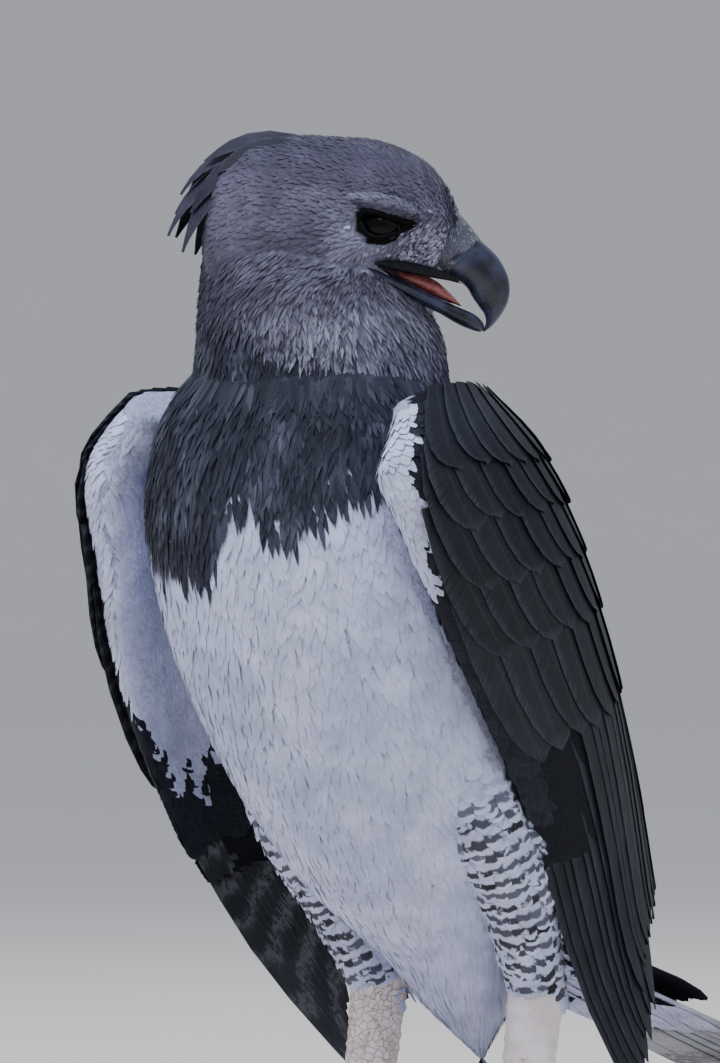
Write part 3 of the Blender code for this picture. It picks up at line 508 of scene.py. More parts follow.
# Height and reach of a toe's pads, height of the claws' roots, and height of the soles, pressed
# flat just over the floor.
PAD_HEIGHT = 0.0085
PAD_REACH = (0.0125, 0.0125, 0.0100)
CLAW_ROOT_HEIGHT = 0.0165
SOLE = 0.0004
CLAW_TURN = math.radians(105)
CLAW_TIP_HEIGHT = 0.0015
WINGS = {
    Side.LEFT: [
        (0.00, 0.100, -0.165, 0.438, 0.122, -0.098, 0.452, 0.056, -0.046, 0.430),
        (0.10, 0.108, -0.190, 0.402, 0.166, -0.086, 0.420, 0.040, -0.006, 0.408),
        (0.25, 0.111, -0.168, 0.350, 0.178, -0.054, 0.376, 0.032, 0.024, 0.370),
        (0.40, 0.106, -0.132, 0.303, 0.173, -0.024, 0.332, 0.030, 0.046, 0.325),
        (0.60, 0.096, -0.074, 0.236, 0.150, 0.014, 0.262, 0.034, 0.078, 0.254),
        (0.75, 0.087, -0.032, 0.180, 0.124, 0.040, 0.205, 0.044, 0.100, 0.190),
        (0.90, 0.080, 0.014, 0.112, 0.104, 0.060, 0.130, 0.064, 0.100, 0.116),
        (1.00, 0.076, 0.070, 0.045, 0.086, 0.092, 0.052, 0.070, 0.100, 0.048),
    ],
    Side.RIGHT: [
        (0.00, 0.106, -0.156, 0.436, 0.122, -0.096, 0.452, 0.056, -0.046, 0.430),
        (0.10, 0.121, -0.172, 0.400, 0.170, -0.086, 0.422, 0.040, -0.006, 0.408),
        (0.25, 0.130, -0.154, 0.335, 0.190, -0.056, 0.374, 0.032, 0.024, 0.370),
        (0.40, 0.141, -0.128, 0.286, 0.196, -0.022, 0.326, 0.030, 0.046, 0.325),
        (0.60, 0.142, -0.085, 0.215, 0.188, 0.004, 0.250, 0.036, 0.078, 0.254),
        (0.75, 0.136, -0.050, 0.165, 0.174, 0.026, 0.194, 0.050, 0.096, 0.190),
        (0.90, 0.120, -0.008, 0.110, 0.146, 0.046, 0.124, 0.076, 0.096, 0.118),
        (1.00, 0.099, 0.052, 0.048, 0.111, 0.080, 0.054, 0.086, 0.092, 0.050),
    ],
}
WING_THICKNESS = [
    (0.00, 0.030),
    (0.15, 0.034),
    (0.35, 0.026),
    (0.60, 0.013),
    (0.85, 0.006),
    (1.00, 0.004),
]
WING_NOSE = 0.16
TAIL = [
    (0.00, 0.034, 0.156, 0.026),
    (0.20, 0.110, 0.130, 0.042),
    (0.60, 0.255, 0.077, 0.052),
    (1.00, 0.405, 0.031, 0.058),
]
TAIL_ROOF = 0.003


def head_axes() -> Array:
    """Rows: the way the head faces, its left, and up."""
    forward = np.array([math.cos(HEAD_TURN), math.sin(HEAD_TURN), 0.0])
    return np.array([forward, np.cross((0.0, 0.0, 1.0), forward), (0.0, 0.0, 1.0)])


def from_head(points: Array) -> Array:
    """Points given as forward, left and up of the head's centre, in the source's place."""
    return np.asarray(points, float) @ head_axes() + HEAD_CENTRE


def to_head(points: Array) -> Array:
    """Points as forward, left and up of the head's centre."""
    return (np.asarray(points, float) - HEAD_CENTRE) @ head_axes().T


@dataclass
class Form:
    """A closed surface: v runs along it and u round it, both from 0 to 1.

    The skin lies a little under it, by sink, and cell is its rectangle on the unwrapped skin.
    """

    sink: float
    cell: tuple[float, float, float, float]

    def point(self, v: Array, u: Array) -> Array:
        """Place of (v, u), for arrays of one shape."""
        raise NotImplementedError

    def frame(self, v: Array, u: Array) -> tuple[Array, Array, Array, Array]:
        """Place, outward normal and the two slopes. Past an end, the form goes on straight.

        Args:
            v: Places along.
            u: Places round.

        Returns:
            Place, normal, slope along and slope round.
        """
        step = 2e-3
        inside = np.clip(v, 0.0, 1.0)
        high, low = np.minimum(inside + step, 1.0), np.maximum(inside - step, 0.0)
        along = (self.point(high, u) - self.point(low, u)) / (high - low)[..., None]
        aside = (self.point(inside, u + step) - self.point(inside, u - step)) / (2.0 * step)
        place = self.point(inside, u) + along * (v - inside)[..., None]
        opposite = self.point(inside, u + 0.5)
        normal = unit(np.cross(aside, along))
        outward = np.sign(dot(normal, self.point(inside, u) - self.middle(inside, u, opposite)))
        return place, normal * outward[..., None], along, aside

    def middle(self, v: Array, u: Array, opposite: Array) -> Array:
        """A place inside the form at (v, u), halfway to the far side of its ring."""
        return (self.point(v, u) + opposite) / 2.0

    def rings(self, rows: int, columns: int, v_end: float = 1.0) -> Array:
        """The form's rings, moved inwards by its sink.

        Args:
            rows: Number of rings.
            columns: Points of each.
            v_end: Place of the last ring.

        Returns:
            Rings of points.
        """
        v = np.linspace(0.0, v_end, rows)[:, None]
        u = np.linspace(0.0, 1.0, columns, endpoint=False)[None, :]
        v, u = np.broadcast_arrays(v, u)
        place, normal, _, _ = self.frame(v, u)
        return place - normal * self.sink

    def roots(self, step: float, rng: Generator, jitter: float = 0.3) -> tuple[Array, Array]:
        """Places in staggered rings, a step apart both ways and each moved a little.

        Args:
            step: Distance between neighbours.
            rng: Seeded source of the small moves.
            jitter: Largest move, as a share of the step.

        Returns:
            Places along and round.
        """
        v = np.linspace(0.0, 1.0, 160)[:, None]
        u = np.linspace(0.0, 1.0, 96)[None, :]
        grid = self.point(*np.broadcast_arrays(v, u))
        length = np.linalg.norm(np.diff(grid, axis=0), axis=-1).mean(axis=1)
        far = np.concatenate([[0.0], np.cumsum(length)])
        girth = np.linalg.norm(np.diff(grid, axis=1), axis=-1).sum(axis=1)
        ring_far = np.arange(0.3 * step, far[-1], step)
        ring_v = np.interp(ring_far, far, v[:, 0])
        count = np.maximum(np.round(np.interp(ring_v, v[:, 0], girth) / step), 3).astype(int)
        ring = np.repeat(np.arange(len(ring_v)), count)
        first = np.repeat(np.cumsum(count) - count, count)
        k = np.arange(count.sum()) - first
        move = rng.uniform(-jitter, jitter, (2, len(ring)))
        out_v = np.interp(ring_far[ring] + move[0] * step, far, v[:, 0])
        out_u = (k + 0.5 * (ring % 2) + move[1]) / count[ring]
        return out_v, out_u % 1.0

    def cell_uv(self, v: Array, u: Array) -> Array:
        """Where (v, u) lies on the unwrapped skin."""
        left, low, width, height = self.cell
        return np.stack([left + width * (u % 1.0), low + height * np.clip(v, 0, 1)], axis=-1)


@dataclass
class TorsoForm(Form):
    """Rings square to the spine, deeper to the front than to the back. u is 0 at the back."""

    def point(self, v: Array, u: Array) -> Array:
        """Centre on the spine, plus rounded sine and cosine times the half width and depths.

        Args:
            v: Places along.
            u: Places round.

        Returns:
            Points.
        """
        rows = curve(TORSO, v)
        step = 0.02
        ahead, behind = curve(TORSO, v + step), curve(TORSO, v - step)
        along = unit((ahead - behind)[..., :2])
        angle = 2.0 * math.pi * u
        depth = signed_power(np.cos(angle), 0.92)
        depth = depth * np.where(depth > 0, rows[..., 4], rows[..., 3])
        x = signed_power(np.sin(angle), 0.92) * rows[..., 2]
        return np.stack(
            [x, rows[..., 0] - along[..., 1] * depth, rows[..., 1] + along[..., 0] * depth],
            axis=-1,
        )


@dataclass
class NeckForm(Form):
    """Level ovals from the shoulders up into the head. u is 0 at the left."""

    def point(self, v: Array, u: Array) -> Array:
        """Centre plus cosine and sine times the half width and depth.

        Args:
            v: Places along.
            u: Places round.

        Returns:
            Points.
        """
        rows = curve(NECK, v)
        angle = 2.0 * math.pi * u
        return np.stack(
            [
                rows[..., 0] + rows[..., 3] * np.cos(angle),
                rows[..., 1] + rows[..., 4] * np.sin(angle),
                rows[..., 2],
            ],
            axis=-1,
        )


@dataclass
class HeadForm(Form):
    """Rings square to the way the head faces, from nape to bill. u is 0 at the crown."""

    def point(self, v: Array, u: Array) -> Array:
        """Half width times rounded sine and half height times cosine, with the eye hollows pushed
        in and the lore and jaw drawn in towards the bill.

        Args:
            v: Places along.
            u: Places round.

        Returns:
            Points.
        """
        place = HEAD[0][0] + (HEAD[-1][0] - HEAD[0][0]) * (0.5 - 0.5 * np.cos(math.pi * v))
        rows = curve(HEAD, place)
        angle = 2.0 * math.pi * u
        across = signed_power(np.sin(angle), 0.9) * rows[..., 2]
        height = rows[..., 0] + np.cos(angle) * rows[..., 1]
        grid = np.stack([place, across, height], axis=-1)
        for middle, reach, push in HEAD_FORMS:
            for side in (1.0, -1.0):
                flip = np.array([1.0, side, 1.0])
                away = (grid - np.array(middle) * flip) / np.array(reach)
                share = np.exp(-(away**2).sum(axis=-1))
                grid = grid + share[..., None] * np.array(push) * flip
        f, h = grid[..., 0], grid[..., 2]
        lore = 0.40 * smooth(f, 0.032, 0.064) * smooth(-h, -0.006, 0.012)
        jaw = 0.25 * smooth(f, 0.005, 0.035) * smooth(-h, 0.008, 0.026)
        grid[..., 1] *= (1.0 - lore) * (1.0 - jaw)
        return from_head(grid)


@dataclass
class ThighForm(Form):
    """Ovals square to the line of the thigh and shank. u is 0 at the back."""

    side: Side

    def line(self, t: Array) -> Array:
        """The centre line, which ends at the side's own ankle."""
        ankle = np.array([0.0, ANKLE_Y[self.side], 0.0])
        return curve(THIGH, t)[..., :3] * (self.side.value, 1.0, 1.0) + t[..., None] * ankle

    def point(self, v: Array, u: Array) -> Array:
        """Centre line, plus side and back directions times sine and cosine.

        Args:
            v: Places along.
            u: Places round.

        Returns:
            Points.
        """
        rows = curve(THIGH, v)
        step = 0.03
        high, low = np.minimum(v + step, 1.0), np.maximum(v - step, 0.0)
        along = unit(self.line(high) - self.line(low))
        aside = unit(np.cross((0.0, 1.0, 0.0), along))
        lift = np.cross(along, aside)
        angle = (2.0 * math.pi * u)[..., None]
        across = aside * np.sin(angle) * rows[..., 3:4]
        return self.line(v) + across + lift * np.cos(angle) * rows[..., 4:5]


@dataclass
class WingForm(Form):
    """The folded wing as one closed plate.

    u goes from the inner rear edge, round the front edge at one half, to the outer rear edge.
    """

    side: Side

    def outer(self, t: Array, c: Array) -> Array:
        """Outer face: a parabola from front to rear edge, pulled out by the bulge.

        Args:
            t: Places down the wing.
            c: Shares of the way from the front to the rear edge.

        Returns:
            Points.
        """
        rows = curve(WINGS[self.side], t)
        c = c[..., None]
        front, bulge, rear = rows[..., 0:3], rows[..., 3:6], rows[..., 6:9]
        place = (1 - c) ** 2 * front + 2 * c * (1 - c) * bulge + c**2 * rear
        return place * np.array([self.side.value, 1.0, 1.0])

    def outer_frame(self, t: Array, c: Array) -> tuple[Array, Array]:
        """Place and outward normal of the outer face.

        Args:
            t: Places down the wing.
            c: Shares of the way from the front to the rear edge.

        Returns:
            Points and normals.
        """
        step = 0.004
        high, low = np.clip(t + step, 0, 1), np.clip(t - step, 0, 1)
        down = self.outer(high, c) - self.outer(low, c)
        back = self.outer(t, c + step) - self.outer(t, c - step)
        return self.outer(t, c), unit(np.cross(down, back)) * self.side.value

    def chord(self, u: Array) -> Array:
        """Share of the way from the front to the rear edge."""
        return np.abs(2.0 * (u % 1.0) - 1.0) ** 1.3

    def point(self, v: Array, u: Array) -> Array:
        """Outer face moved in by half the thickness at the front edge, and by none or all of it
        behind.

        Args:
            v: Places along.
            u: Places round.

        Returns:
            Points.
        """
        c = self.chord(u)
        place, normal = self.outer_frame(v, c)
        thick = curve(WING_THICKNESS, v)[..., 0]
        nose = np.clip(1.0 - c / WING_NOSE, 0.0, 1.0)
        nose = 0.5 * (1.0 - np.sqrt(np.maximum(1.0 - nose**2, 0.0)))
        inner = (u % 1.0) < 0.5
        deep = np.where(inner, 1.0 - nose, nose)
        return place - normal * (thick * deep)[..., None]

    def middle(self, v: Array, u: Array, opposite: Array) -> Array:
        """A place halfway through the plate.

        Args:
            v: Places along.
            u: Places round.
            opposite: Far side of the ring.

        Returns:
            Points.
        """
        c = np.clip(self.chord(u), 0.03, 0.97)
        place, normal = self.outer_frame(v, c)
        return place - normal * (0.5 * curve(WING_THICKNESS, v)[..., 0])[..., None]


@dataclass
class TailForm(Form):
    """The root of the tail as a flat closed wedge. u is 0 at the middle of the underside."""

    def point(self, v: Array, u: Array) -> Array:
        """An oval nearly as wide as the tail, thinner towards its tip and lower at its sides, as
        the feathers over it are.

        Args:
            v: Places along.
            u: Places round.

        Returns:
            Points.
        """
        s = 0.27 * v
        rows = curve(TAIL, s)
        angle = 2.0 * math.pi * u
        q = 0.86 * np.sin(angle)
        thick = 0.0045 * (1.0 - v) + 0.0022
        drop = 0.0016 + 0.0080 * np.abs(q) * smooth(v, 0.0, 0.3)
        roof = rows[..., 1] - TAIL_ROOF * q**2 - drop
        return np.stack(
            [q * rows[..., 2], rows[..., 0], roof - thick - thick * np.cos(angle)], axis=-1
        )


# Feathers.


@dataclass(frozen=True)
class Plume:
    """Shape of one kind of small feather, as shares of its length and half width.

    Attributes:
        places: Places of its rows from root to tip.
        widths: Its width at each.
        root: How deep its root goes under the surface.
        lift: How high its tip stands.
        droop: How much its sides droop.
        thick: Its thickness.
        ruffle: Spread of the shading normals.
        roll: Spread of the tilt about its length.
        bend: Spread of the sideways bend.
        level: How far the normals are laid level.
    """

    places: tuple = (0.0, 0.38, 0.72, 0.92, 1.0)
    widths: tuple = (0.40, 0.92, 1.0, 0.70, 0.16)
    root: float = 0.0012
    lift: float = 0.0030
    droop: float = 0.0010
    thick: float = 0.0003
    ruffle: float = 0.10
    roll: float = 0.08
    bend: float = 0.05
    level: float = 0.0


SOFT = Plume(
    widths=(0.50, 1.0, 0.80, 0.42, 0.05),
    lift=0.0011,
    droop=0.0003,
    ruffle=0.05,
    bend=0.10,
)
SILKY = Plume(
    places=(0.0, 0.36, 0.74, 1.0),
    widths=(0.55, 1.0, 0.72, 0.05),
    lift=0.0017,
    droop=0.0003,
    thick=0.0002,
    ruffle=0.15,
    bend=0.11,
    level=0.35,
)
BARRED = Plume(widths=(0.45, 0.90, 1.0, 0.78, 0.22), lift=0.0022, droop=0.0006, ruffle=0.05)
HAIR = Plume(
    places=(0.0, 0.40, 0.78, 1.0),
    widths=(0.60, 1.0, 0.62, 0.06),
    root=0.0010,
    lift=0.0022,
    droop=0.0003,
    ruffle=0.15,
    bend=0.13,
    level=0.75,
)
FINE = Plume(
    places=(0.0, 0.45, 0.85, 1.0),
    widths=(0.60, 1.0, 0.62, 0.08),
    root=0.0006,
    lift=0.0011,
    droop=0.0002,
    thick=0.0002,
    ruffle=0.13,
    bend=0.10,
)


@dataclass
class Coat:
    """Arrays of many vanes that become one mesh."""

    points: Array
    quads: Array
    vane_uv: Array
    bake_uv: Array
    tint: Array
    fringe: Array
    normal: Array

    @staticmethod
    def joined(coats: Sequence["Coat"]) -> "Coat":
        """Several coats as one.

        Args:
            coats: The coats.

        Returns:
            One coat.
        """
        first = np.cumsum([0] + [len(c.points) for c in coats[:-1]])
        return Coat(
            np.vstack([c.points for c in coats]),
            np.vstack([c.quads + n for c, n in zip(coats, first)]),
            np.vstack([c.vane_uv for c in coats]),
            np.vstack([c.bake_uv for c in coats]),
            np.vstack([c.tint for c in coats]),
            np.concatenate([c.fringe for c in coats]),
            np.vstack([c.normal for c in coats]),
        )

    def piece(self, name: str, material: Material, shift: Array) -> Object:
        """The coat as a piece with its maps and attributes.

        Args:
            name: The piece's name.
            material: Its finish.
            shift: Move to the frame's place.

        Returns:
            The piece.
        """
        mesh = make_mesh(name, self.points + shift, self.quads)
        corner_uv(mesh, "OFBake", self.bake_uv)
        corner_uv(mesh, "vane", self.vane_uv)
        point_colour(mesh, "tint", self.tint)
        layer = mesh.attributes.new("fringe", "FLOAT", "POINT")
        layer.data.foreach_set("value", self.fringe.astype(np.float32))
        layer = mesh.attributes.new("custom_normal", "FLOAT_VECTOR", "POINT")
        layer.data.foreach_set("vector", self.normal.astype(np.float32).ravel())
        return add_piece(mesh, material)


def ring_quads(count: int, rows: int, around: int) -> Array:
    """Faces of many short closed tubes of the same make, with a cap at each end.

    The lower faces are split along the same way as the upper ones, so that the two never cross.

    Args:
        count: Number of tubes.
        rows: Rings of each tube.
        around: Points of each ring, which is 4.

    Returns:
        Four corner numbers per face.
    """
    i = np.arange(rows - 1)[:, None]
    j = np.arange(around)[None, :]
    k = (j + 1) % around
    a, b = i * around + j, i * around + k
    sides = np.stack([a, a + around, b + around, b], axis=-1)
    below = np.stack([a + around, b + around, b, a], axis=-1)
    sides = np.where((j >= 2)[..., None], below, sides).reshape(-1, 4)
    last = (rows - 1) * around
    caps = np.array([[0, 1, 2, 3], [last + 3, last + 2, last + 1, last]])
    one = np.vstack([sides, caps])
    return (one[None] + (np.arange(count) * rows * around)[:, None, None]).reshape(-1, 4)


def plumes(
    form: Form,
    v: Array,
    u: Array,
    way: Array,
    length: Array,
    half: Array,
    shape: Plume,
    colour: Array,
    mark: Array,
    fringe: Array,
    rng: Generator,
) -> Coat:
    """Small feathers that follow a form's surface from their roots.

    Each point is the surface at the root plus its share of the length along the lie and of the half
    width across it, worked out through the surface's two slopes, then raised along the normal.

    Args:
        form: The surface.
        v: Roots, along.
        u: Roots, round.
        way: Directions of the lie at the roots.
        length: Lengths.
        half: Half widths.
        shape: The kind of feather.
        colour: Colours, one row a feather.
        mark: Strength of the dark bar.
        fringe: Strength of the pale edge.
        rng: Seeded source of small differences.

    Returns:
        The feathers as one coat.
    """
    count, rows = len(v), len(shape.places)
    _, normal, along, aside = form.frame(v, u)
    way = unit(way - dot(way, normal)[:, None] * normal)
    across = np.cross(normal, way)
    e, f, g = dot(along, along), dot(along, aside), dot(aside, aside)
    det = np.maximum(e * g - f * f, 1e-12)

    def slopes(x: Array) -> tuple[Array, Array]:
        """Steps of v and u that make a step of one metre in a direction."""
        a, b = dot(x, along), dot(x, aside)
        return (g * a - f * b) / det, (e * b - f * a) / det

    way_v, way_u = slopes(way)
    side_v, side_u = slopes(across)
    s = np.array(shape.places)[None, :, None]
    w = np.array(shape.widths)[None, :, None]
    q = np.array([-1.0, 0.0, 1.0])[None, None, :]
    reach = length[:, None, None] * s
    wide = half[:, None, None] * w * q
    bend = rng.normal(0.0, shape.bend, count)[:, None, None] * length[:, None, None] * s**2
    wide = wide + bend
    pv = v[:, None, None] + reach * way_v[:, None, None] + wide * side_v[:, None, None]
    pu = u[:, None, None] + reach * way_u[:, None, None] + wide * side_u[:, None, None]
    place, up, _, _ = form.frame(pv, pu)
    lift = shape.lift * (0.7 + 0.6 * rng.random(count))[:, None, None]
    roll = rng.normal(0.0, shape.roll, count)[:, None, None] * half[:, None, None] * q * w
    height = -shape.root * (1.0 - s) ** 2 + lift * s**1.3 - shape.droop * w * q**2 + roll * s
    body = place + up * (height - form.sink)[..., None]
    under = body[:, :, 1] - up[:, :, 1] * shape.thick
    points = np.stack([body[:, :, 0], body[:, :, 1], body[:, :, 2], under], axis=2)
    turn = rng.normal(0.0, shape.ruffle, (count, 1, 1, 3))
    soft = up * (1.0, 1.0, 1.0 - shape.level)
    soft = unit(soft + turn + 0.10 * across[:, None, None] * q[..., None])
    soft = np.concatenate([soft, -up[:, :, 1:2]], axis=2)
    vane_u = np.array([0.0, 0.5, 1.0, 0.5])
    vane = np.stack(
        np.broadcast_arrays(vane_u[None, None, :], s + np.zeros((count, 1, 4))), axis=-1
    ).reshape(-1, 2)
    root_uv = np.repeat(form.cell_uv(v, u), rows * 4, axis=0)
    each = rows * 4
    tint = np.column_stack([np.repeat(colour, each, axis=0), np.repeat(mark, each)])
    return Coat(
        points.reshape(-1, 3),
        ring_quads(count, rows, 4),
        vane,
        root_uv + PATCH * (vane - 0.5),
        tint,
        np.repeat(fringe, each),
        soft.reshape(-1, 3),
    )


@dataclass(frozen=True)
class VaneShape:
    """Outline of a large feather: places from root to tip and the half width at each."""

    places: tuple
    widths: tuple
    columns: tuple = (-1.0, -0.62, -0.22, -0.14, 0.12, 0.55, 1.0)
    thick: float = 0.0007
    ridge: float = 0.0006


def sweep(value: Array, count: int) -> Array:
    """A pair of first and last values spread evenly over a row of feathers."""
    return np.linspace(value[0], value[1], count)


def vane_block(
    top: Array,
    normal: Array,
    shape: VaneShape,
    cells: Array,
    colours: tuple[Array, Array],
    marks: tuple[float, float],
    fringe: Array,
) -> Coat:
    """Large feathers from grids of their upper faces, closed below at their thickness.

    Args:
        top: Upper faces, as feathers by rows by columns.
        normal: Normals there.
        shape: Their outline.
        cells: Rectangle of each feather on the bake map.
        colours: Colours of the upper and of the lower faces, one row a feather.
        marks: Strength of the bars above and below.
        fringe: Strength of the pale edge.

    Returns:
        The feathers as one coat.
    """
    count, rows, columns = top.shape[:3]
    q = np.array(shape.columns)
    s = np.array(shape.places)
    thin = np.clip(1.0 - np.abs(q) ** 4, 0.0, 1.0)[None, None, :, None]
    low = top - normal * shape.thick * np.maximum(thin, 0.25)
    points = np.concatenate([top.reshape(count, -1, 3), low.reshape(count, -1, 3)], axis=1)
    each = rows * columns
    upper = grid_faces(rows, columns, False)
    lower = upper[:, ::-1] + each
    rim = np.concatenate(
        [
            np.arange(columns),
            np.arange(1, rows) * columns + columns - 1,
            (rows - 1) * columns + np.arange(columns - 2, -1, -1),
            np.arange(rows - 2, 0, -1) * columns,
        ]
    )
    after = np.roll(rim, -1)
    wall = np.stack([after, rim, rim + each, after + each], axis=-1)
    one = np.vstack([upper, lower, wall])
    corner = points[:, upper]
    area = np.cross(corner[:, :, 2] - corner[:, :, 0], corner[:, :, 3] - corner[:, :, 1])
    facing = dot(area, normal.reshape(count, each, 3)[:, upper[:, 0]]).sum(axis=1) > 0
    one = np.where(facing[:, None, None], one[None], one[None, :, ::-1])
    quads = (one + (np.arange(count) * 2 * each)[:, None, None]).reshape(-1, 4)
    grid_q, grid_s = np.meshgrid((q + 1.0) / 2.0, s)
    vane = np.stack([grid_q, grid_s], axis=-1).reshape(-1, 2)
    vane = np.tile(np.vstack([vane, vane]), (count, 1))
    face = np.tile(np.repeat([0.0, 1.0], each), count)
    cell = np.repeat(cells, 2 * each, axis=0)
    bake = np.column_stack(
        [
            cell[:, 0] + cell[:, 2] * (0.05 + 0.9 * vane[:, 0]),
            cell[:, 1] + cell[:, 3] * (0.02 + 0.46 * vane[:, 1] + 0.5 * face),
        ]
    )
    both = np.stack(colours, axis=1)
    bars = np.broadcast_to(np.array(marks)[None, :, None], (count, 2, 1))
    both = np.concatenate([both, bars], axis=-1)
    tint = np.repeat(both, each, axis=1).reshape(-1, 4)
    out = normal.reshape(count, -1, 3)
    soft = np.concatenate([out, -out], axis=1).reshape(-1, 3)
    return Coat(points.reshape(-1, 3), quads, vane, bake, tint, np.repeat(fringe, 2 * each), soft)


def bake_cells(first: int, count: int, across: int = 16, down: int = 8) -> Array:
    """Rectangles of a sheet on the bake map for large feathers.

    Args:
        first: Number of the first.
        count: How many.
        across: Rectangles in a row of the sheet.
        down: Rows of the sheet.

    Returns:
        Left, bottom, width and height of each.
    """
    k = first + np.arange(count)
    width, height = 1.0 / across, 1.0 / down
    left, low = (k % across) * width, (k // across % down) * height
    return np.column_stack([left, low, 0 * k + width, 0 * k + height])


LONG = VaneShape(
    places=(0.0, 0.12, 0.28, 0.45, 0.60, 0.74, 0.85, 0.93, 0.98, 1.0),
    widths=(0.45, 0.72, 0.92, 1.0, 1.0, 0.96, 0.86, 0.66, 0.38, 0.14),
)
SHORT = VaneShape(
    places=(0.0, 0.25, 0.50, 0.72, 0.87, 0.96, 1.0),
    widths=(0.50, 0.85, 1.0, 0.98, 0.80, 0.50, 0.16),
    columns=(-1.0, -0.55, -0.1, 0.1, 0.55, 1.0),
    thick=0.0006,
    ridge=0.0003,
)


SLIM = VaneShape(
    places=(0.0, 0.18, 0.38, 0.56, 0.72, 0.85, 0.94, 1.0),
    widths=(0.55, 0.85, 1.0, 0.98, 0.82, 0.58, 0.30, 0.06),
    columns=(-1.0, -0.55, -0.1, 0.1, 0.55, 1.0),
    thick=0.0004,
    ridge=0.0002,
)


@dataclass(frozen=True)
class FeatherRow:
    """One row of a wing's feathers, each pair of values from the first (front) to the last (rear).

    Attributes:
        name: Its name.
        count: How many feathers.
        root_t: Places of the roots down the wing.
        root_c: Places of the roots across it.
        tip_t: Places of the tips down the wing.
        tip_c: Places of the tips across it.
        half: Half width.
        above: Height over the wing's face.
        step: How much lower each feather lies than the one behind it.
        shape: Outline.
        fringe: Strength of the pale edge.
    """

    name: str
    count: int
    root_t: tuple
    root_c: tuple
    tip_t: tuple
    tip_c: tuple
    half: float
    above: float
    step: float
    shape: VaneShape
    fringe: float


WING_ROWS = [
    FeatherRow(*ends, *sizes)
    for ends, sizes in (
        (
            ("primary", 9, (0.42, 0.34), (0.08, 0.30), (0.998, 0.925), (0.12, 0.50)),
            (0.0120, 0.0, 0.0007, LONG, 0.12),
        ),
        (
            ("secondary", 12, (0.36, 0.32), (0.32, 0.86), (0.905, 0.79), (0.40, 0.84)),
            (0.0135, 0.0004, 0.0, LONG, 0.14),
        ),
        (
            ("tertial", 4, (0.28, 0.25), (0.76, 0.95), (0.72, 0.58), (0.80, 0.96)),
            (0.0150, 0.0010, 0.0, LONG, 0.16),
        ),
        (
            ("greater", 11, (0.26, 0.24), (0.08, 0.93), (0.595, 0.51), (0.10, 0.93)),
            (0.0150, 0.0010, 0.0, SHORT, 0.18),
        ),
        (
            ("median", 11, (0.18, 0.17), (0.09, 0.93), (0.435, 0.395), (0.11, 0.92)),
            (0.0150, 0.0016, 0.0, SHORT, 0.20),
        ),
        (
            ("lesser_low", 11, (0.10, 0.11), (0.13, 0.92), (0.325, 0.31), (0.14, 0.92)),
            (0.0145, 0.0020, 0.0, SHORT, 0.22),
        ),
        (
            ("lesser_mid", 11, (0.045, 0.05), (0.16, 0.92), (0.225, 0.225), (0.16, 0.92)),
            (0.0142, 0.0023, 0.0, SHORT, 0.22),
        ),
        (
            ("lesser_top", 10, (0.0, 0.0), (0.18, 0.92), (0.140, 0.145), (0.18, 0.92)),
            (0.0145, 0.0025, 0.0, SHORT, 0.22),
        ),
    )
]


def vane_rise(row: FeatherRow, s: Array, q: Array, order: Array) -> Array:
    """Height of a wing feather over the wing's face.

    It is sunk at the root and tilted across, and each feather is a step lower than the one behind.

    Args:
        row: The row's sizes.
        s: Places from root to tip.
        q: Shares of the half width.
        order: Number of each feather from the rear.

    Returns:
        Heights.
    """
    shaft = np.exp(-(((q + 0.18) / 0.06) ** 2)) * row.shape.ridge
    return row.above - 0.0036 * (1.0 - s) ** 1.6 - 0.0010 * q + shaft - row.step * order


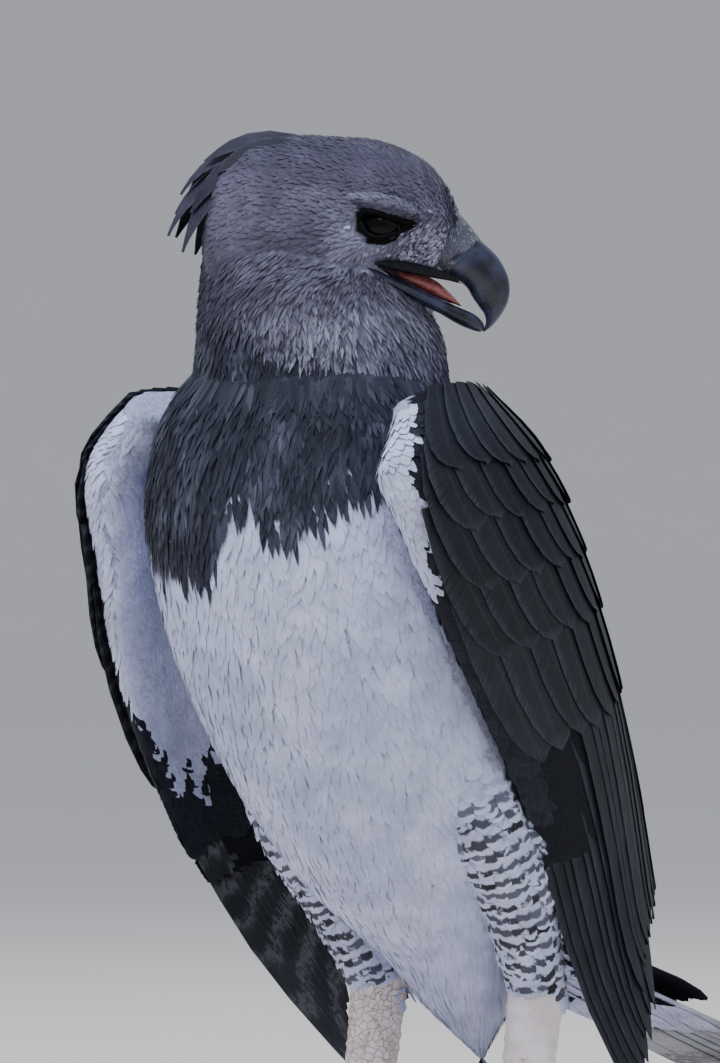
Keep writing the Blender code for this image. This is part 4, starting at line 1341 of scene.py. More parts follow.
@dataclass
class Wing:
    """The feathers of one folded wing."""

    form: WingForm
    finishes: dict

    def row_coat(self, row: FeatherRow, first: int, rng: Generator) -> Coat:
        """One row of feathers, each along a straight path of (t, c) on the wing's face.

        A point is the face at the path's place, moved across by its share of the width over the
        chord, and raised along the normal.

        Args:
            row: The row's sizes.
            first: Number of its first cell on the bake map.
            rng: Seeded source of small differences.

        Returns:
            The row as one coat.
        """
        n, shape = row.count, row.shape
        s = np.array(shape.places)[None, :, None]
        w = np.array(shape.widths)[None, :, None]
        q = np.array(shape.columns)[None, None, :]
        loose = rng.uniform(-1.0, 1.0, (5, n, 1, 1))
        root_t = sweep(row.root_t, n)[:, None, None]
        root_c = sweep(row.root_c, n)[:, None, None]
        tip_t = sweep(row.tip_t, n)[:, None, None] + 0.006 * loose[0] - 0.006
        tip_c = sweep(row.tip_c, n)[:, None, None] + 0.010 * loose[1]
        t = root_t + (tip_t - root_t) * s + 0.0 * q
        c = root_c + (tip_c - root_c) * s + 0.0 * q
        here = self.form.outer(t, c)
        chord = np.linalg.norm(self.form.outer(t, c + 0.02) - here, axis=-1) / 0.02
        near = np.clip(t, 0.02, 1.0)
        lower = self.form.outer(near, c) - self.form.outer(near - 0.02, c)
        length = np.linalg.norm(lower, axis=-1) / 0.02
        half = row.half * (1.0 + 0.08 * loose[2])
        c = np.clip(c + q * half * w / chord, 0.0, 1.0)
        t = np.clip(t - q**2 * 0.10 * half / length * s**4, 0.0, 1.0)
        place, normal = self.form.outer_frame(t, c)
        order = np.arange(n)[::-1, None, None]
        rise = vane_rise(row, s, q, order) + 0.0004 * loose[3] * s
        top = place + normal * rise[..., None]
        shade = (0.5 + 0.5 * loose[4, :, 0, 0]) * 0.5
        colour = blend(PLUMAGE.slate, PLUMAGE.silver, 0.10 * shade)
        under = blend(PLUMAGE.slate, PLUMAGE.tail_under, np.full(n, 0.05))
        fringe = np.full(n, row.fringe) * (0.6 + 0.8 * rng.random(n))
        return vane_block(
            top, normal, shape, bake_cells(first, n), (colour, under), (0.0, 0.42), fringe
        )

    def flight(self, rng: Generator, shift: Array) -> Object:
        """Every large feather of the wing as one piece.

        Args:
            rng: Seeded source of small differences.
            shift: Move to the frame's place.

        Returns:
            The piece.
        """
        coats, first = [], 0
        for row in WING_ROWS:
            coats.append(self.row_coat(row, first, rng))
            first += row.count
        word = self.form.side.word
        return Coat.joined(coats).piece(f"wing_feathers_{word}", self.finishes["flight"], shift)

    def small(self, rng: Generator) -> Coat:
        """Small feathers round the front edge and on the lining, white with a jagged black rim.

        Args:
            rng: Seeded source of small differences.

        Returns:
            The feathers.
        """
        form = self.form
        v, u = form.roots(0.0040, rng)
        c = form.chord(u)
        inner = u < 0.5
        strip = np.interp(v, [0.0, 0.30, 0.45, 0.66], [0.20, 0.17, 0.10, 0.07])
        keep = (v < 0.66) & np.where(inner, c < 0.46, (c < strip) | ((v < 0.06) & (c < 0.97)))
        v, u, c, inner = v[keep], u[keep], c[keep], inner[keep]
        _, _, along, aside = form.frame(v, u)
        back = unit(aside) * np.where(inner, -1.0, 1.0)[:, None]
        way = unit(along) + 0.35 * back
        pale = wing_pale(form, v, u)
        colour = np.where(
            pale[:, None],
            blend(PLUMAGE.white, PLUMAGE.belly_shade, rng.random(len(v)) * 0.3),
            blend(PLUMAGE.slate, PLUMAGE.silver, rng.random(len(v)) * 0.08),
        )
        size = np.where(inner, 1.35, 1.0) * rng.uniform(0.85, 1.15, len(v))
        fringe = np.where(pale, 0.03, 0.15)
        plain = np.zeros(len(v))
        length, half = 0.0135 * size, 0.0031 * size
        return plumes(form, v, u, way, length, half, SOFT, colour, plain, fringe, rng)


def wing_pale(form: WingForm, v: Array, u: Array) -> Array:
    """Whether a place on a wing is white.

    White are the lining and a strip round the front edge, which ends in dark teeth outside.

    Args:
        form: The wing.
        v: Places along.
        u: Places round.

    Returns:
        True where white.
    """
    place, c, inner = form.point(v, u), form.chord(u), (u % 1.0) < 0.5
    teeth = 0.020 * wobble(place * (1.0, 1.0, 2.2), 0.0050, 2.0)
    teeth = teeth + 0.008 * wobble(place, 0.012, 5.0)
    places = [0.0, 0.06, 0.14, 0.22, 0.32, 0.42, 0.55, 0.7]
    teeth = teeth * (1.0 - 0.6 * smooth(v, 0.20, 0.40))
    if form.side is Side.LEFT:
        edge = np.interp(v, places, [0.040, 0.066, 0.062, 0.034, 0.002, -0.03, -0.06, -0.08])
    else:
        edge = np.interp(v, places, [0.42, 0.16, 0.060, 0.036, 0.024, 0.004, -0.040, -0.08])
    signed = np.where(inner, -c, c)
    end = 0.55 + 0.07 * wobble(place * (1.0, 1.0, 0.30), 0.0050, 4.0)
    pale = (signed < edge + teeth) & (v < end)
    if form.side is Side.LEFT:
        streak = ~inner & (v < 0.035) & (c > 0.42) & (c < 0.70)
        pale |= streak & (wobble(place, 0.010, 9.0) > 0.25)
    return pale


def tail_line(s: Array, q: Array) -> Array:
    """Points on the tail's roof.

    Args:
        s: Places along the tail.
        q: Shares of its half width.

    Returns:
        The points.
    """
    rows = curve(TAIL, s)
    height = rows[..., 1] - TAIL_ROOF * q**2
    return np.stack([q * rows[..., 2], rows[..., 0] + 0.0 * q, height], axis=-1)


def free_grid(
    root: Array,
    bend: Array,
    tip: Array,
    half: Array,
    across: Array,
    shape: VaneShape,
    camber: float = 0.0,
) -> tuple[Array, Array]:
    """Feathers along bent lines.

    Each line is a parabola from root to tip, pulled towards bend, and a point is moved across it
    by its share of the width.

    Args:
        root: Root of each feather.
        bend: Pull point of each line.
        tip: Tip of each line.
        half: Half widths.
        across: Direction that each lies flat along.
        shape: Outline.
        camber: Droop of the sides.

    Returns:
        Upper faces and their normals.
    """
    s = np.array(shape.places)[None, :, None]
    w = np.array(shape.widths)[None, :]
    q = np.array(shape.columns)[None, None, :]
    a, b, c = (x[:, None] for x in (root, bend, tip))
    line = (1 - s) ** 2 * a + 2 * s * (1 - s) * b + s**2 * c
    along = unit(2 * (1 - s) * (b - a) + 2 * s * (c - b))
    normal = unit(np.cross(across[:, None], along))
    flat = unit(np.cross(along, normal))
    width = (half[:, None] * w)[..., None] * q
    ridge = np.exp(-(((q + 0.18) / 0.06) ** 2)) * shape.ridge - camber * q**2
    top = line[:, :, None] + flat[:, :, None] * width[..., None]
    top = top + normal[:, :, None] * (ridge + 0.0 * width)[..., None]
    return top, np.broadcast_to(normal[:, :, None], top.shape)


# The tail's short feathers: whether above, how many, how far they reach, and first bake cell.
TAIL_TIERS = (
    (True, 9, 0.40, 16),
    (True, 7, 0.27, 32),
    (False, 8, 0.46, 48),
    (False, 7, 0.30, 64),
)


@dataclass
class Tail:
    """Twelve long barred feathers, with short ones over and under their roots."""

    finishes: dict

    def build(self, rng: Generator, shift: Array) -> list[Object]:
        """The tail's large feathers as two pieces.

        Args:
            rng: Seeded source of small differences.
            shift: Move to the frame's place.

        Returns:
            The pieces.
        """
        n = 12
        k = np.arange(n)
        place = (k + 0.5) / n * 2.0 - 1.0
        layer = np.abs(k - (n - 1) / 2.0) + np.where(place > 0, 0.5, 0.0)
        q = place * 0.80
        end = 1.0 - 0.045 * place**2 + 0.006 * rng.uniform(-1.0, 1.0, n)
        drop = np.stack([0 * q, 0 * q, 0.0012 * layer], axis=-1)
        root = tail_line(0 * q + 0.10, q) - drop
        middle = tail_line(0.5 * (0.10 + end), q) - drop
        tip = tail_line(end, q) - drop
        root = root - np.array([0.0, 0.0, 0.0047]) + 0.45 * drop
        bend = 2.0 * middle - 0.5 * (root + tip)
        lean = np.stack([0 * q + 1.0, 0 * q, -2.0 * TAIL_ROOF * q / 0.055], axis=-1)
        top, normal = free_grid(root, bend, tip, np.full(n, 0.0155), lean, LONG)
        colour = blend(PLUMAGE.slate, PLUMAGE.silver, rng.random(n) * 0.1)
        under = blend(PLUMAGE.tail_under, PLUMAGE.white, rng.random(n) * 0.2)
        cells, edge = bake_cells(0, n), np.full(n, 0.5)
        long = vane_block(top, normal, LONG, cells, (colour, under), (0.8, 1.0), edge)
        pieces = [long.piece("tail_feathers", self.finishes["tail"], shift)]
        coats = []
        for over, count, reach, first in TAIL_TIERS:
            q = np.linspace(-0.78, 0.78, count) + rng.uniform(-0.04, 0.04, count)
            far = reach - 0.06 * np.abs(q) + 0.02 * rng.uniform(-1, 1, count)
            sign = 1.0 if over else -1.0
            gap = np.where(over, 0.0022, 0.0105) + 0.0008 * rng.random(count)
            lift = np.stack([0 * q, 0 * q, sign * gap], axis=-1)
            root = tail_line(0 * q + 0.015, q) - np.array([0.0, 0.0, 0.004 if over else 0.009])
            middle = tail_line(0 * q + reach / 2.0, q) + lift
            tip = tail_line(far, q) + lift * 0.8
            bend = 2.0 * middle - 0.5 * (root + tip)
            flat = np.tile([1.0, 0.0, 0.0], (count, 1))
            top, normal = free_grid(root, bend, tip, np.full(count, 0.0125), flat, SHORT, 0.0008)
            base = PLUMAGE.slate if over else PLUMAGE.white
            colour = blend(base, PLUMAGE.silver, rng.random(count) * 0.1)
            cells, edge = bake_cells(first, count), np.full(count, 0.2)
            coats.append(vane_block(top, normal, SHORT, cells, (colour, colour), (0.0, 0.0), edge))
        pieces.append(Coat.joined(coats).piece("tail_coverts", self.finishes["contour"], shift))
        return pieces


# The crest's feathers of one side, in the head's directions: root, pull point, tip, half width.
CREST = [
    ((-0.0080, 0.0100, 0.0415), (-0.0440, 0.0140, 0.0535), (-0.0680, 0.0150, 0.0335), 0.0068),
    ((-0.0100, 0.0210, 0.0375), (-0.0380, 0.0240, 0.0475), (-0.0600, 0.0240, 0.0270), 0.0066),
    ((-0.0240, 0.0080, 0.0420), (-0.0660, 0.0100, 0.0450), (-0.0815, 0.0110, 0.0160), 0.0072),
    ((-0.0300, 0.0200, 0.0370), (-0.0600, 0.0225, 0.0360), (-0.0745, 0.0215, 0.0060), 0.0068),
    ((-0.0430, 0.0120, 0.0370), (-0.0770, 0.0140, 0.0240), (-0.0880, 0.0130, -0.0060), 0.0070),
    ((-0.0500, 0.0210, 0.0300), (-0.0740, 0.0220, 0.0090), (-0.0790, 0.0210, -0.0150), 0.0064),
]


@dataclass
class Crest:
    """Long dark feathers that stand off the back of the crown."""

    finishes: dict

    def build(self, rng: Generator, shift: Array) -> Object:
        """Both sides and the middle as one piece, in the head's own directions.

        Args:
            rng: Seeded source of small differences.
            shift: Move to the frame's place.

        Returns:
            The piece.
        """
        each = [
            (*(np.array(place) * (1, side, 1) for place in row[:3]), row[3], side)
            for side in (1, -1)
            for row in CREST
        ]
        middle = [(-0.030, 0.0, 0.0450), (-0.072, 0.0, 0.036), (-0.086, 0.0, 0.006)]
        each.append((*(np.array(place) for place in middle), 0.0064, 0))
        root, bend, tip = (from_head(np.array([e[i] for e in each])) for i in range(3))
        half = np.array([e[3] for e in each])
        lean = np.array([[0.0, 1.0, -abs(e[0][1]) / 0.012 * e[4] if e[4] else 0.0] for e in each])
        lean = unit(lean) @ head_axes()
        top, normal = free_grid(root, bend, tip, half, lean, SLIM, 0.0012)
        n = len(each)
        colour = blend(PLUMAGE.slate, PLUMAGE.crown, rng.random(n) * 0.6)
        cells, edge = bake_cells(0, n), np.full(n, 0.2)
        coat = vane_block(top, normal, SLIM, cells, (colour, colour), (0.0, 0.0), edge)
        return coat.piece("crest", self.finishes["contour"], shift)


@dataclass
class TubeForm(Form):
    """An oval tube along a line of the face, mirrored to one side. u is 0 on top."""

    rows: tuple
    side: float

    def point(self, v: Array, u: Array) -> Array:
        """Centre line in the head's directions, plus side and up times sine and cosine.

        Args:
            v: Places along.
            u: Places round.

        Returns:
            Points.
        """
        table = evenly(self.rows)
        table[:, 2] *= self.side
        rows = curve(table, v)
        high, low = np.minimum(v + 0.04, 1.0), np.maximum(v - 0.04, 0.0)
        along = unit(curve(table, high)[..., :3] - curve(table, low)[..., :3])
        aside = unit(np.cross((0.0, 0.0, 1.0), along))
        lift = np.cross(along, aside)
        angle = (2.0 * math.pi * u)[..., None]
        end = np.sqrt(np.clip(1.0 - np.abs(2.0 * v - 1.0) ** 6, 0.02, 1.0))[..., None]
        centre = rows[..., :3]
        centre = centre + aside * np.sin(angle) * rows[..., 3:4] * end
        return from_head(centre + lift * np.cos(angle) * rows[..., 4:5] * end)


def tinted(count: int, base: Sequence, other: Sequence, share: float, rng: Generator) -> Array:
    """A colour for each feather, between two, up to a share of the way."""
    return blend(base, other, rng.random(count) * share)


def pick(mask: Array, yes: Array, no: Array) -> Array:
    """Colours from one of two lists, by a mask."""
    return np.where(mask[:, None], yes, no)


# Lower edge of the black breast, as places round the body and the heights there, and of the grey
# head feathers, in the same way round the neck.
BREAST_EDGE = (
    (0.0, 0.25, 0.3, 0.36, 0.39, 0.412, 0.43, 0.452, 0.462, 0.472, 0.482)
    + (0.494, 0.512, 0.527, 0.55, 0.585, 0.62, 0.65, 0.7, 0.75, 1.0),
    (0.42, 0.42, 0.4, 0.382, 0.376, 0.368, 0.357, 0.357, 0.366, 0.373, 0.368)
    + (0.358, 0.34, 0.333, 0.341, 0.345, 0.356, 0.371, 0.392, 0.42, 0.42),
)
NECK_EDGE = (
    (0.0, 0.1, 0.25, 0.45, 0.66, 0.75, 0.84, 0.92, 1.0),
    (0.441, 0.446, 0.47, 0.478, 0.475, 0.469, 0.454, 0.445, 0.441),
)
# Front limit of the feathers on the lore, as heights and places forward, and the gape's upper and
# lower limits, as places forward and heights.
LORE_EDGE = (
    (-0.03, -0.024, -0.0185, -0.006, 0.004, 0.012),
    (0.053, 0.057, 0.0605, 0.066, 0.0695, 0.07),
)
GAPE_TOP = ((0.02, 0.0353, 0.0468, 0.0604), (-0.0212, -0.0216, -0.0249, -0.028))
GAPE_LOW = (
    (0.019, 0.0225, 0.0345, 0.0428, 0.055),
    (-0.027, -0.028, -0.0365, -0.0415, -0.0488),
)
# Middle and radius of the ball round each eye that holds no feathers.
EYE_GAP = (0.0298, 0.04, -0.0012)
EYE_GAP_RADIUS = 0.0111


@dataclass
class Spots:
    """Places on a form: v along, u round, where they are, and the slope along."""

    v: Array
    u: Array
    place: Array
    along: Optional[Array] = None

    def __len__(self) -> int:
        """How many there are."""
        return len(self.v)

    @property
    def height(self) -> Array:
        """Height over the floor."""
        return self.place[:, 2]

    @property
    def head(self) -> Array:
        """Three rows: places forward, left and up of the head's centre."""
        return to_head(self.place).T

    def edge(self, table: tuple) -> Array:
        """Height of a table's edge at the places round."""
        return np.interp(self.u % 1.0, *table)


@dataclass
class Markings:
    """Where each colour lies.

    Each method takes the feathers' roots and returns their colours, the strength of their dark
    bar and the strength of their pale edge.
    """

    rng: Generator

    def torso(self, at: Spots) -> Marks:
        """Black breast down to a jagged edge, slate back and rump, white below.

        Args:
            at: Roots of the feathers.

        Returns:
            Colours, bars and pale edges.
        """
        n = len(at)
        around = np.minimum(at.u % 1.0, 1.0 - at.u % 1.0)
        teeth = 0.006 * wobble(at.place * (1.0, 1.0, 0.3), 0.004, 1.0)
        teeth = teeth + 0.003 * wobble(at.place, 0.013, 3.0)
        dark = (at.height > at.edge(BREAST_EDGE) + teeth + 0.014) | (around < 0.17 + 0.5 * teeth)
        black = self.collar(at)[0]
        white = tinted(n, PLUMAGE.white, PLUMAGE.belly_shade, 0.35, self.rng)
        grey = smooth(wobble(at.place * (1.0, 1.0, 0.5), 0.035, 2.0), -0.5, 0.9)
        white = blend(white, PLUMAGE.belly_shade, grey * self.rng.uniform(0.6, 1.0, n))
        return pick(dark, black, white), 0.0, np.where(dark, 0.12, 0.03)

    def neck(self, at: Spots) -> Marks:
        """Black, with the grey of the throat above."""
        black, grey = self.collar(at)[0], self.ruff(at)[0]
        return pick(at.height > at.edge(NECK_EDGE) + 0.01, grey, black), 0.0, 0.0

    def collar(self, at: Spots) -> Marks:
        """Black, with silver patches of painted sheen.

        Args:
            at: Roots of the feathers.

        Returns:
            Colours, bars and pale edges.
        """
        n = len(at)
        # Painted sheen: silver patches from soft noise, each feather taking a random share of it.
        sheen = smooth(wobble(at.place * (1.0, 1.0, 0.7), 0.012, 8.0), -0.5, 0.8)
        sheen = sheen * self.rng.uniform(0.0, 0.75, n)
        black = tinted(n, PLUMAGE.breast, PLUMAGE.silver, 0.16, self.rng)
        return blend(black, PLUMAGE.silver, sheen), 0.0, 0.05

    def ruff(self, at: Spots) -> Marks:
        """Grey, paler under the bill and darker behind.

        Args:
            at: Roots of the feathers.

        Returns:
            Colours, bars and pale edges.
        """
        n = len(at)
        pale = smooth(np.cos(2.0 * math.pi * (at.u - 0.93)), 0.1, 0.95)
        grey = tinted(n, PLUMAGE.head, PLUMAGE.crown, 1.0, self.rng)
        low = 1.0 - smooth(at.height, 0.482, 0.498)
        share = pale * (0.35 + 0.65 * low) * self.rng.uniform(0.0, 1.0, n)
        grey = blend(grey, PLUMAGE.throat, share)
        back = smooth(0.472 - at.height, -0.02, 0.01) * (1.0 - pale)
        grey = blend(grey, PLUMAGE.crown, 0.8 * back)
        return self.patchy(grey, at), 0.0, 0.0

    def patchy(self, colour: Array, at: Spots) -> Array:
        """Colours made lighter and darker in soft patches."""
        patch = 0.22 * wobble(at.place, 0.011, 2.0) + 0.1 * wobble(at.place, 0.004, 6.0)
        return colour * (1.0 + patch)[:, None]

    def head(self, at: Spots) -> Marks:
        """Dark crown, grey face, paler lore, cheek and throat, and a dark stripe through the eye,
        partly painted shade.

        Args:
            at: Roots of the feathers.

        Returns:
            Colours, bars and pale edges.
        """
        n, uniform = len(at), self.rng.uniform
        f, l, h = at.head
        aside = np.abs(l) > 0.02
        colour = tinted(n, PLUMAGE.head, PLUMAGE.crown, 0.35, self.rng)
        crown = smooth(h - 0.25 * np.maximum(-f, 0.0), 0.006, 0.034)
        crown = crown * (1.0 - smooth(f, 0.035, 0.062))
        colour = blend(colour, PLUMAGE.crown, crown * uniform(0.7, 1.0, n))
        face = smooth(f, 0.0, 0.03) * smooth(-h, -0.012, 0.01)
        lore = smooth(f, 0.038, 0.05) * smooth(-h, -0.004, 0.008)
        throat = smooth(-h, 0.018, 0.034)
        colour = blend(colour, PLUMAGE.face, 0.75 * face * uniform(0.4, 1.0, n))
        colour = blend(colour, PLUMAGE.throat, 0.8 * throat * uniform(0.4, 1.0, n))
        colour = self.patchy(colour, at)
        flecks = self.rng.random(n) < 0.62 * np.maximum(lore, 0.25 * face)
        colour = pick(flecks, tinted(n, PLUMAGE.fleck, PLUMAGE.face, 1.0, self.rng), colour)
        dark = self.rng.random(n) < 0.2 * np.maximum(lore, 0.5 * throat)
        colour = pick(dark, tinted(n, PLUMAGE.head, PLUMAGE.slate, 0.8, self.rng), colour)
        ear = np.exp(-(((f + 0.004) / 0.012) ** 2 + ((h + 0.004) / 0.013) ** 2)) * aside
        colour = blend(colour, PLUMAGE.crown, 0.55 * ear)
        behind = np.exp(-(((f - 0.0125) / 0.006) ** 2 + ((h + 0.002) / 0.009) ** 2)) * aside
        colour = blend(colour, PLUMAGE.face, 0.45 * behind)
        # Dark wedge before the eye and a near-black ring round it: the ring is partly dark rim and
        # partly painted shade of the eye's hollow.
        wedge = 0.0048 * (1.0 - smooth(f, 0.038, 0.052))
        stripe = (f > 0.034) & (f < 0.052) & (np.abs(h + 0.001 + 0.12 * (f - 0.04)) < wedge)
        stripe |= (((f - 0.03) / 0.0112) ** 2 + ((h + 0.001) / 0.0088) ** 2 < 1.0) & aside
        return pick(stripe, PLUMAGE.eye_rim, colour), 0.0, np.where(crown > 0.5, 0.3, 0.05)

    def brow(self, at: Spots) -> Marks:
        """Pale lilac-grey, with painted shade on its lower side and crown grey along the top.

        Args:
            at: Roots of the feathers.

        Returns:
            Colours, bars and pale edges.
        """
        colour = tinted(len(at), PLUMAGE.brow, PLUMAGE.head, 0.8, self.rng)
        top = 0.5 + 0.5 * np.cos(2.0 * math.pi * at.u)
        # Painted shade: the brow's lower side, which faces down over the eye, is darkened towards
        # the crown colour.
        colour = blend(colour, PLUMAGE.crown, 0.7 * (1.0 - smooth(top, 0.3, 0.6)))
        colour = blend(colour, PLUMAGE.crown, 0.75 * smooth(top, 0.9, 1.0))
        return colour, 0.0, 0.1

    def thigh(self, at: Spots) -> Marks:
        """White with dark bars, and a plain white cuff at the ankle.

        Args:
            at: Roots of the feathers.

        Returns:
            Colours, bars and pale edges.
        """
        colour = tinted(len(at), PLUMAGE.white, PLUMAGE.belly_shade, 0.45, self.rng)
        mark = smooth(at.v, 0.04, 0.16) * (1.0 - smooth(at.v, 0.9, 0.93))
        return colour, mark * self.rng.uniform(0.8, 1.0, len(at)), 0.03

    def tail(self, at: Spots) -> Marks:
        """White below and slate above.

        Args:
            at: Roots of the feathers.

        Returns:
            Colours, bars and pale edges.
        """
        under = (np.cos(2.0 * math.pi * at.u) > 0.0) & (at.v < 0.72)
        white = tinted(len(at), PLUMAGE.white, PLUMAGE.belly_shade, 0.6, self.rng)
        slate = tinted(len(at), PLUMAGE.slate, PLUMAGE.silver, 0.2, self.rng)
        return pick(under, white, slate), 0.0, np.where(under, 0.1, 0.6)


@dataclass
class Cover:
    """Which roots the coats keep, and the feathers' length and half width where they change."""

    marks: Markings

    def plain(self, at: Spots) -> Array:
        """Clear of the eyes, the bill, the mouth and the head's two poles.

        Args:
            at: Roots of the feathers.

        Returns:
            True for the roots to keep.
        """
        f, l, h = at.head
        x, y, z = EYE_GAP
        eye = np.sqrt((f - x) ** 2 + (np.abs(l) - y) ** 2 + (h - z) ** 2) > EYE_GAP_RADIUS
        lore = (h > np.interp(f, *GAPE_TOP) + 0.0036) & (f < np.interp(h, *LORE_EDGE))
        chin = (h < np.interp(f, *GAPE_LOW)) & (f < 0.056)
        return eye & (at.v > 0.035) & (at.v < 0.94) & ((f < 0.0235) | lore | chin)

    def lore(self, at: Spots) -> Array:
        """Between the eye and the bill, where short bristles stand among the feathers."""
        f, _, h = at.head
        return (f > 0.02) & (h < 0.004) & (h > -0.0235) & self.plain(at)

    def face(self, at: Spots) -> Array:
        """The front of the head."""
        return (at.head[0] > 0.018) & self.plain(at)

    def back(self, at: Spots) -> Array:
        """The rest of the head, overlapping the front a little."""
        return (at.head[0] <= 0.021) & self.plain(at)

    def face_size(self, at: Spots) -> tuple[Array, Array]:
        """Short over the gape, and longer on the throat.

        Args:
            at: Roots of the feathers.

        Returns:
            Lengths and half widths.
        """
        f, _, h = at.head
        low, high = smooth(-h, 0.014, 0.032), smooth(h, 0.0, 0.03)
        length = 0.005 + 0.0065 * low + 0.002 * high
        over = h - np.interp(f, *GAPE_TOP)
        short = np.minimum(length, 0.0012 + 0.6 * np.maximum(over, 0.0))
        length = np.where((f > 0.022) & (over > 0.0), short, length)
        return length, 0.00095 + 0.0002 * low + 0.0004 * high

    def head_size(self, at: Spots) -> tuple[Array, Array]:
        """Longer at the back and below.

        Args:
            at: Roots of the feathers.

        Returns:
            Lengths and half widths.
        """
        f, _, h = at.head
        back, low = smooth(-f, -0.01, 0.04), smooth(-h, 0.004, 0.022)
        return 0.0085 + 0.006 * back + 0.0085 * low, 0.0013 + 0.0006 * back

    def ruff(self, at: Spots) -> Array:
        """The neck above a ragged edge."""
        ragged = 0.004 * wobble(at.place * (1.0, 1.0, 0.4), 0.006, 4.0)
        return at.height > at.edge(NECK_EDGE) + 0.009 + ragged

    def ruff_size(self, at: Spots) -> tuple[Array, Array]:
        """As small as the head's feathers at the top, and larger below."""
        low = 1.0 - smooth(at.height, 0.476, 0.508)
        return 0.0115 + 0.0075 * low, 0.0011 + 0.00025 * low

    def collar(self, at: Spots) -> Array:
        """The neck below, going on under the ruff's edge."""
        return at.height < at.edge(NECK_EDGE) + 0.02

    def breast(self, at: Spots) -> Array:
        """The dark part of the torso."""
        return self.marks.torso(at)[0][:, 0] < 0.2

    def belly(self, at: Spots) -> Array:
        """The white part of the torso."""
        return self.marks.torso(at)[0][:, 0] >= 0.2


@dataclass(frozen=True)
class Fixed:
    """The same length and half width everywhere."""

    length: float
    half: float

    def __call__(self, at: Spots) -> tuple[Array, Array]:
        """Both sizes for each root."""
        return np.full(len(at), self.length), np.full(len(at), self.half)


def down_form(at: Spots) -> Array:
    """Along the form, from its first ring to its last."""
    return unit(at.along)


def up_form(at: Spots) -> Array:
    """Against the form."""
    return -unit(at.along)


def head_lie(at: Spots) -> Array:
    """Backwards from the bill, and more downwards the lower the place.

    Args:
        at: Roots on the head.

    Returns:
        Directions.
    """
    f, l, h = at.head
    cheek = 0.8 * smooth(f, 0.026, 0.042) * (h > -0.028)
    down = 0.1 + 0.9 * smooth(-h, -0.004, 0.034) * (1.0 - cheek)
    return np.column_stack([-np.ones(len(at)), 0.25 * np.sign(l) * (h < 0.02), -down]) @ head_axes()


def ruff_lie(at: Spots) -> Array:
    """Down the neck, and also backwards near the head."""
    high = smooth(at.height, 0.48, 0.512)[:, None]
    return -unit(at.along) - 1.1 * high * head_axes()[0]


@dataclass
class Groomer:
    """Sets small feathers where the skin is open to the air."""

    tree: BVHTree
    rng: Generator

    def open_roots(self, form: Form, v: Array, u: Array, reach: float) -> Array:
        """Whether each root lies on the skin with nothing just above it.

        Args:
            form: The surface.
            v: Places along.
            u: Places round.
            reach: Clear height.

        Returns:
            True for the roots to keep.
        """
        place, normal, _, _ = form.frame(v, u)
        skin, start = place - normal * form.sink, place + normal * CLEAR_START
        near = np.array([self.tree.find_nearest(x)[3] for x in skin.tolist()])
        rays = zip(start.tolist(), normal.tolist())
        clear = np.array([self.tree.ray_cast(a, b, reach)[0] is None for a, b in rays])
        return (near < SKIN_NEAR) & clear

    def coat(
        self,
        form: Form,
        step: float,
        colour: Callable,
        lie: Callable,
        size: Callable,
        shape: Plume,
        keep: Optional[Callable] = None,
        reach: float = 0.012,
        jitter: float = 0.30,
    ) -> Coat:
        """One form's feathers.

        Args:
            form: The surface.
            step: Distance between roots.
            colour: Gives the colours, bars and pale edges of roots.
            lie: Gives the directions at roots.
            size: Gives length and half width at roots.
            shape: The kind of feather.
            keep: Says which roots to keep.
            reach: Clear height over a root.
            jitter: Largest move of a root, as a share of the step.

        Returns:
            The feathers.
        """
        v, u = form.roots(step, self.rng, jitter)
        if keep is not None:
            mask = keep(Spots(v, u, form.point(v, u)))
            v, u = v[mask], u[mask]
        mask = self.open_roots(form, v, u, reach)
        v, u = v[mask], u[mask]
        place, normal, along, _ = form.frame(v, u)
        at, n = Spots(v, u, place, along), len(v)
        tint, mark, fringe = colour(at)
        mark, fringe = np.broadcast_to(mark, n), np.broadcast_to(fringe, n)
        length, half = size(at)
        length = length * self.rng.uniform(0.82, 1.15, n)
        half = half * self.rng.uniform(0.85, 1.12, n)
        way = lie(at)
        sway = 0.20 * wobble(place, 0.013, 7.0) + 0.10 * wobble(place, 0.005, 1.0)
        way = way + np.cross(normal, way) * sway[:, None]
        return plumes(form, v, u, way, length, half, shape, tint, mark, fringe, self.rng)


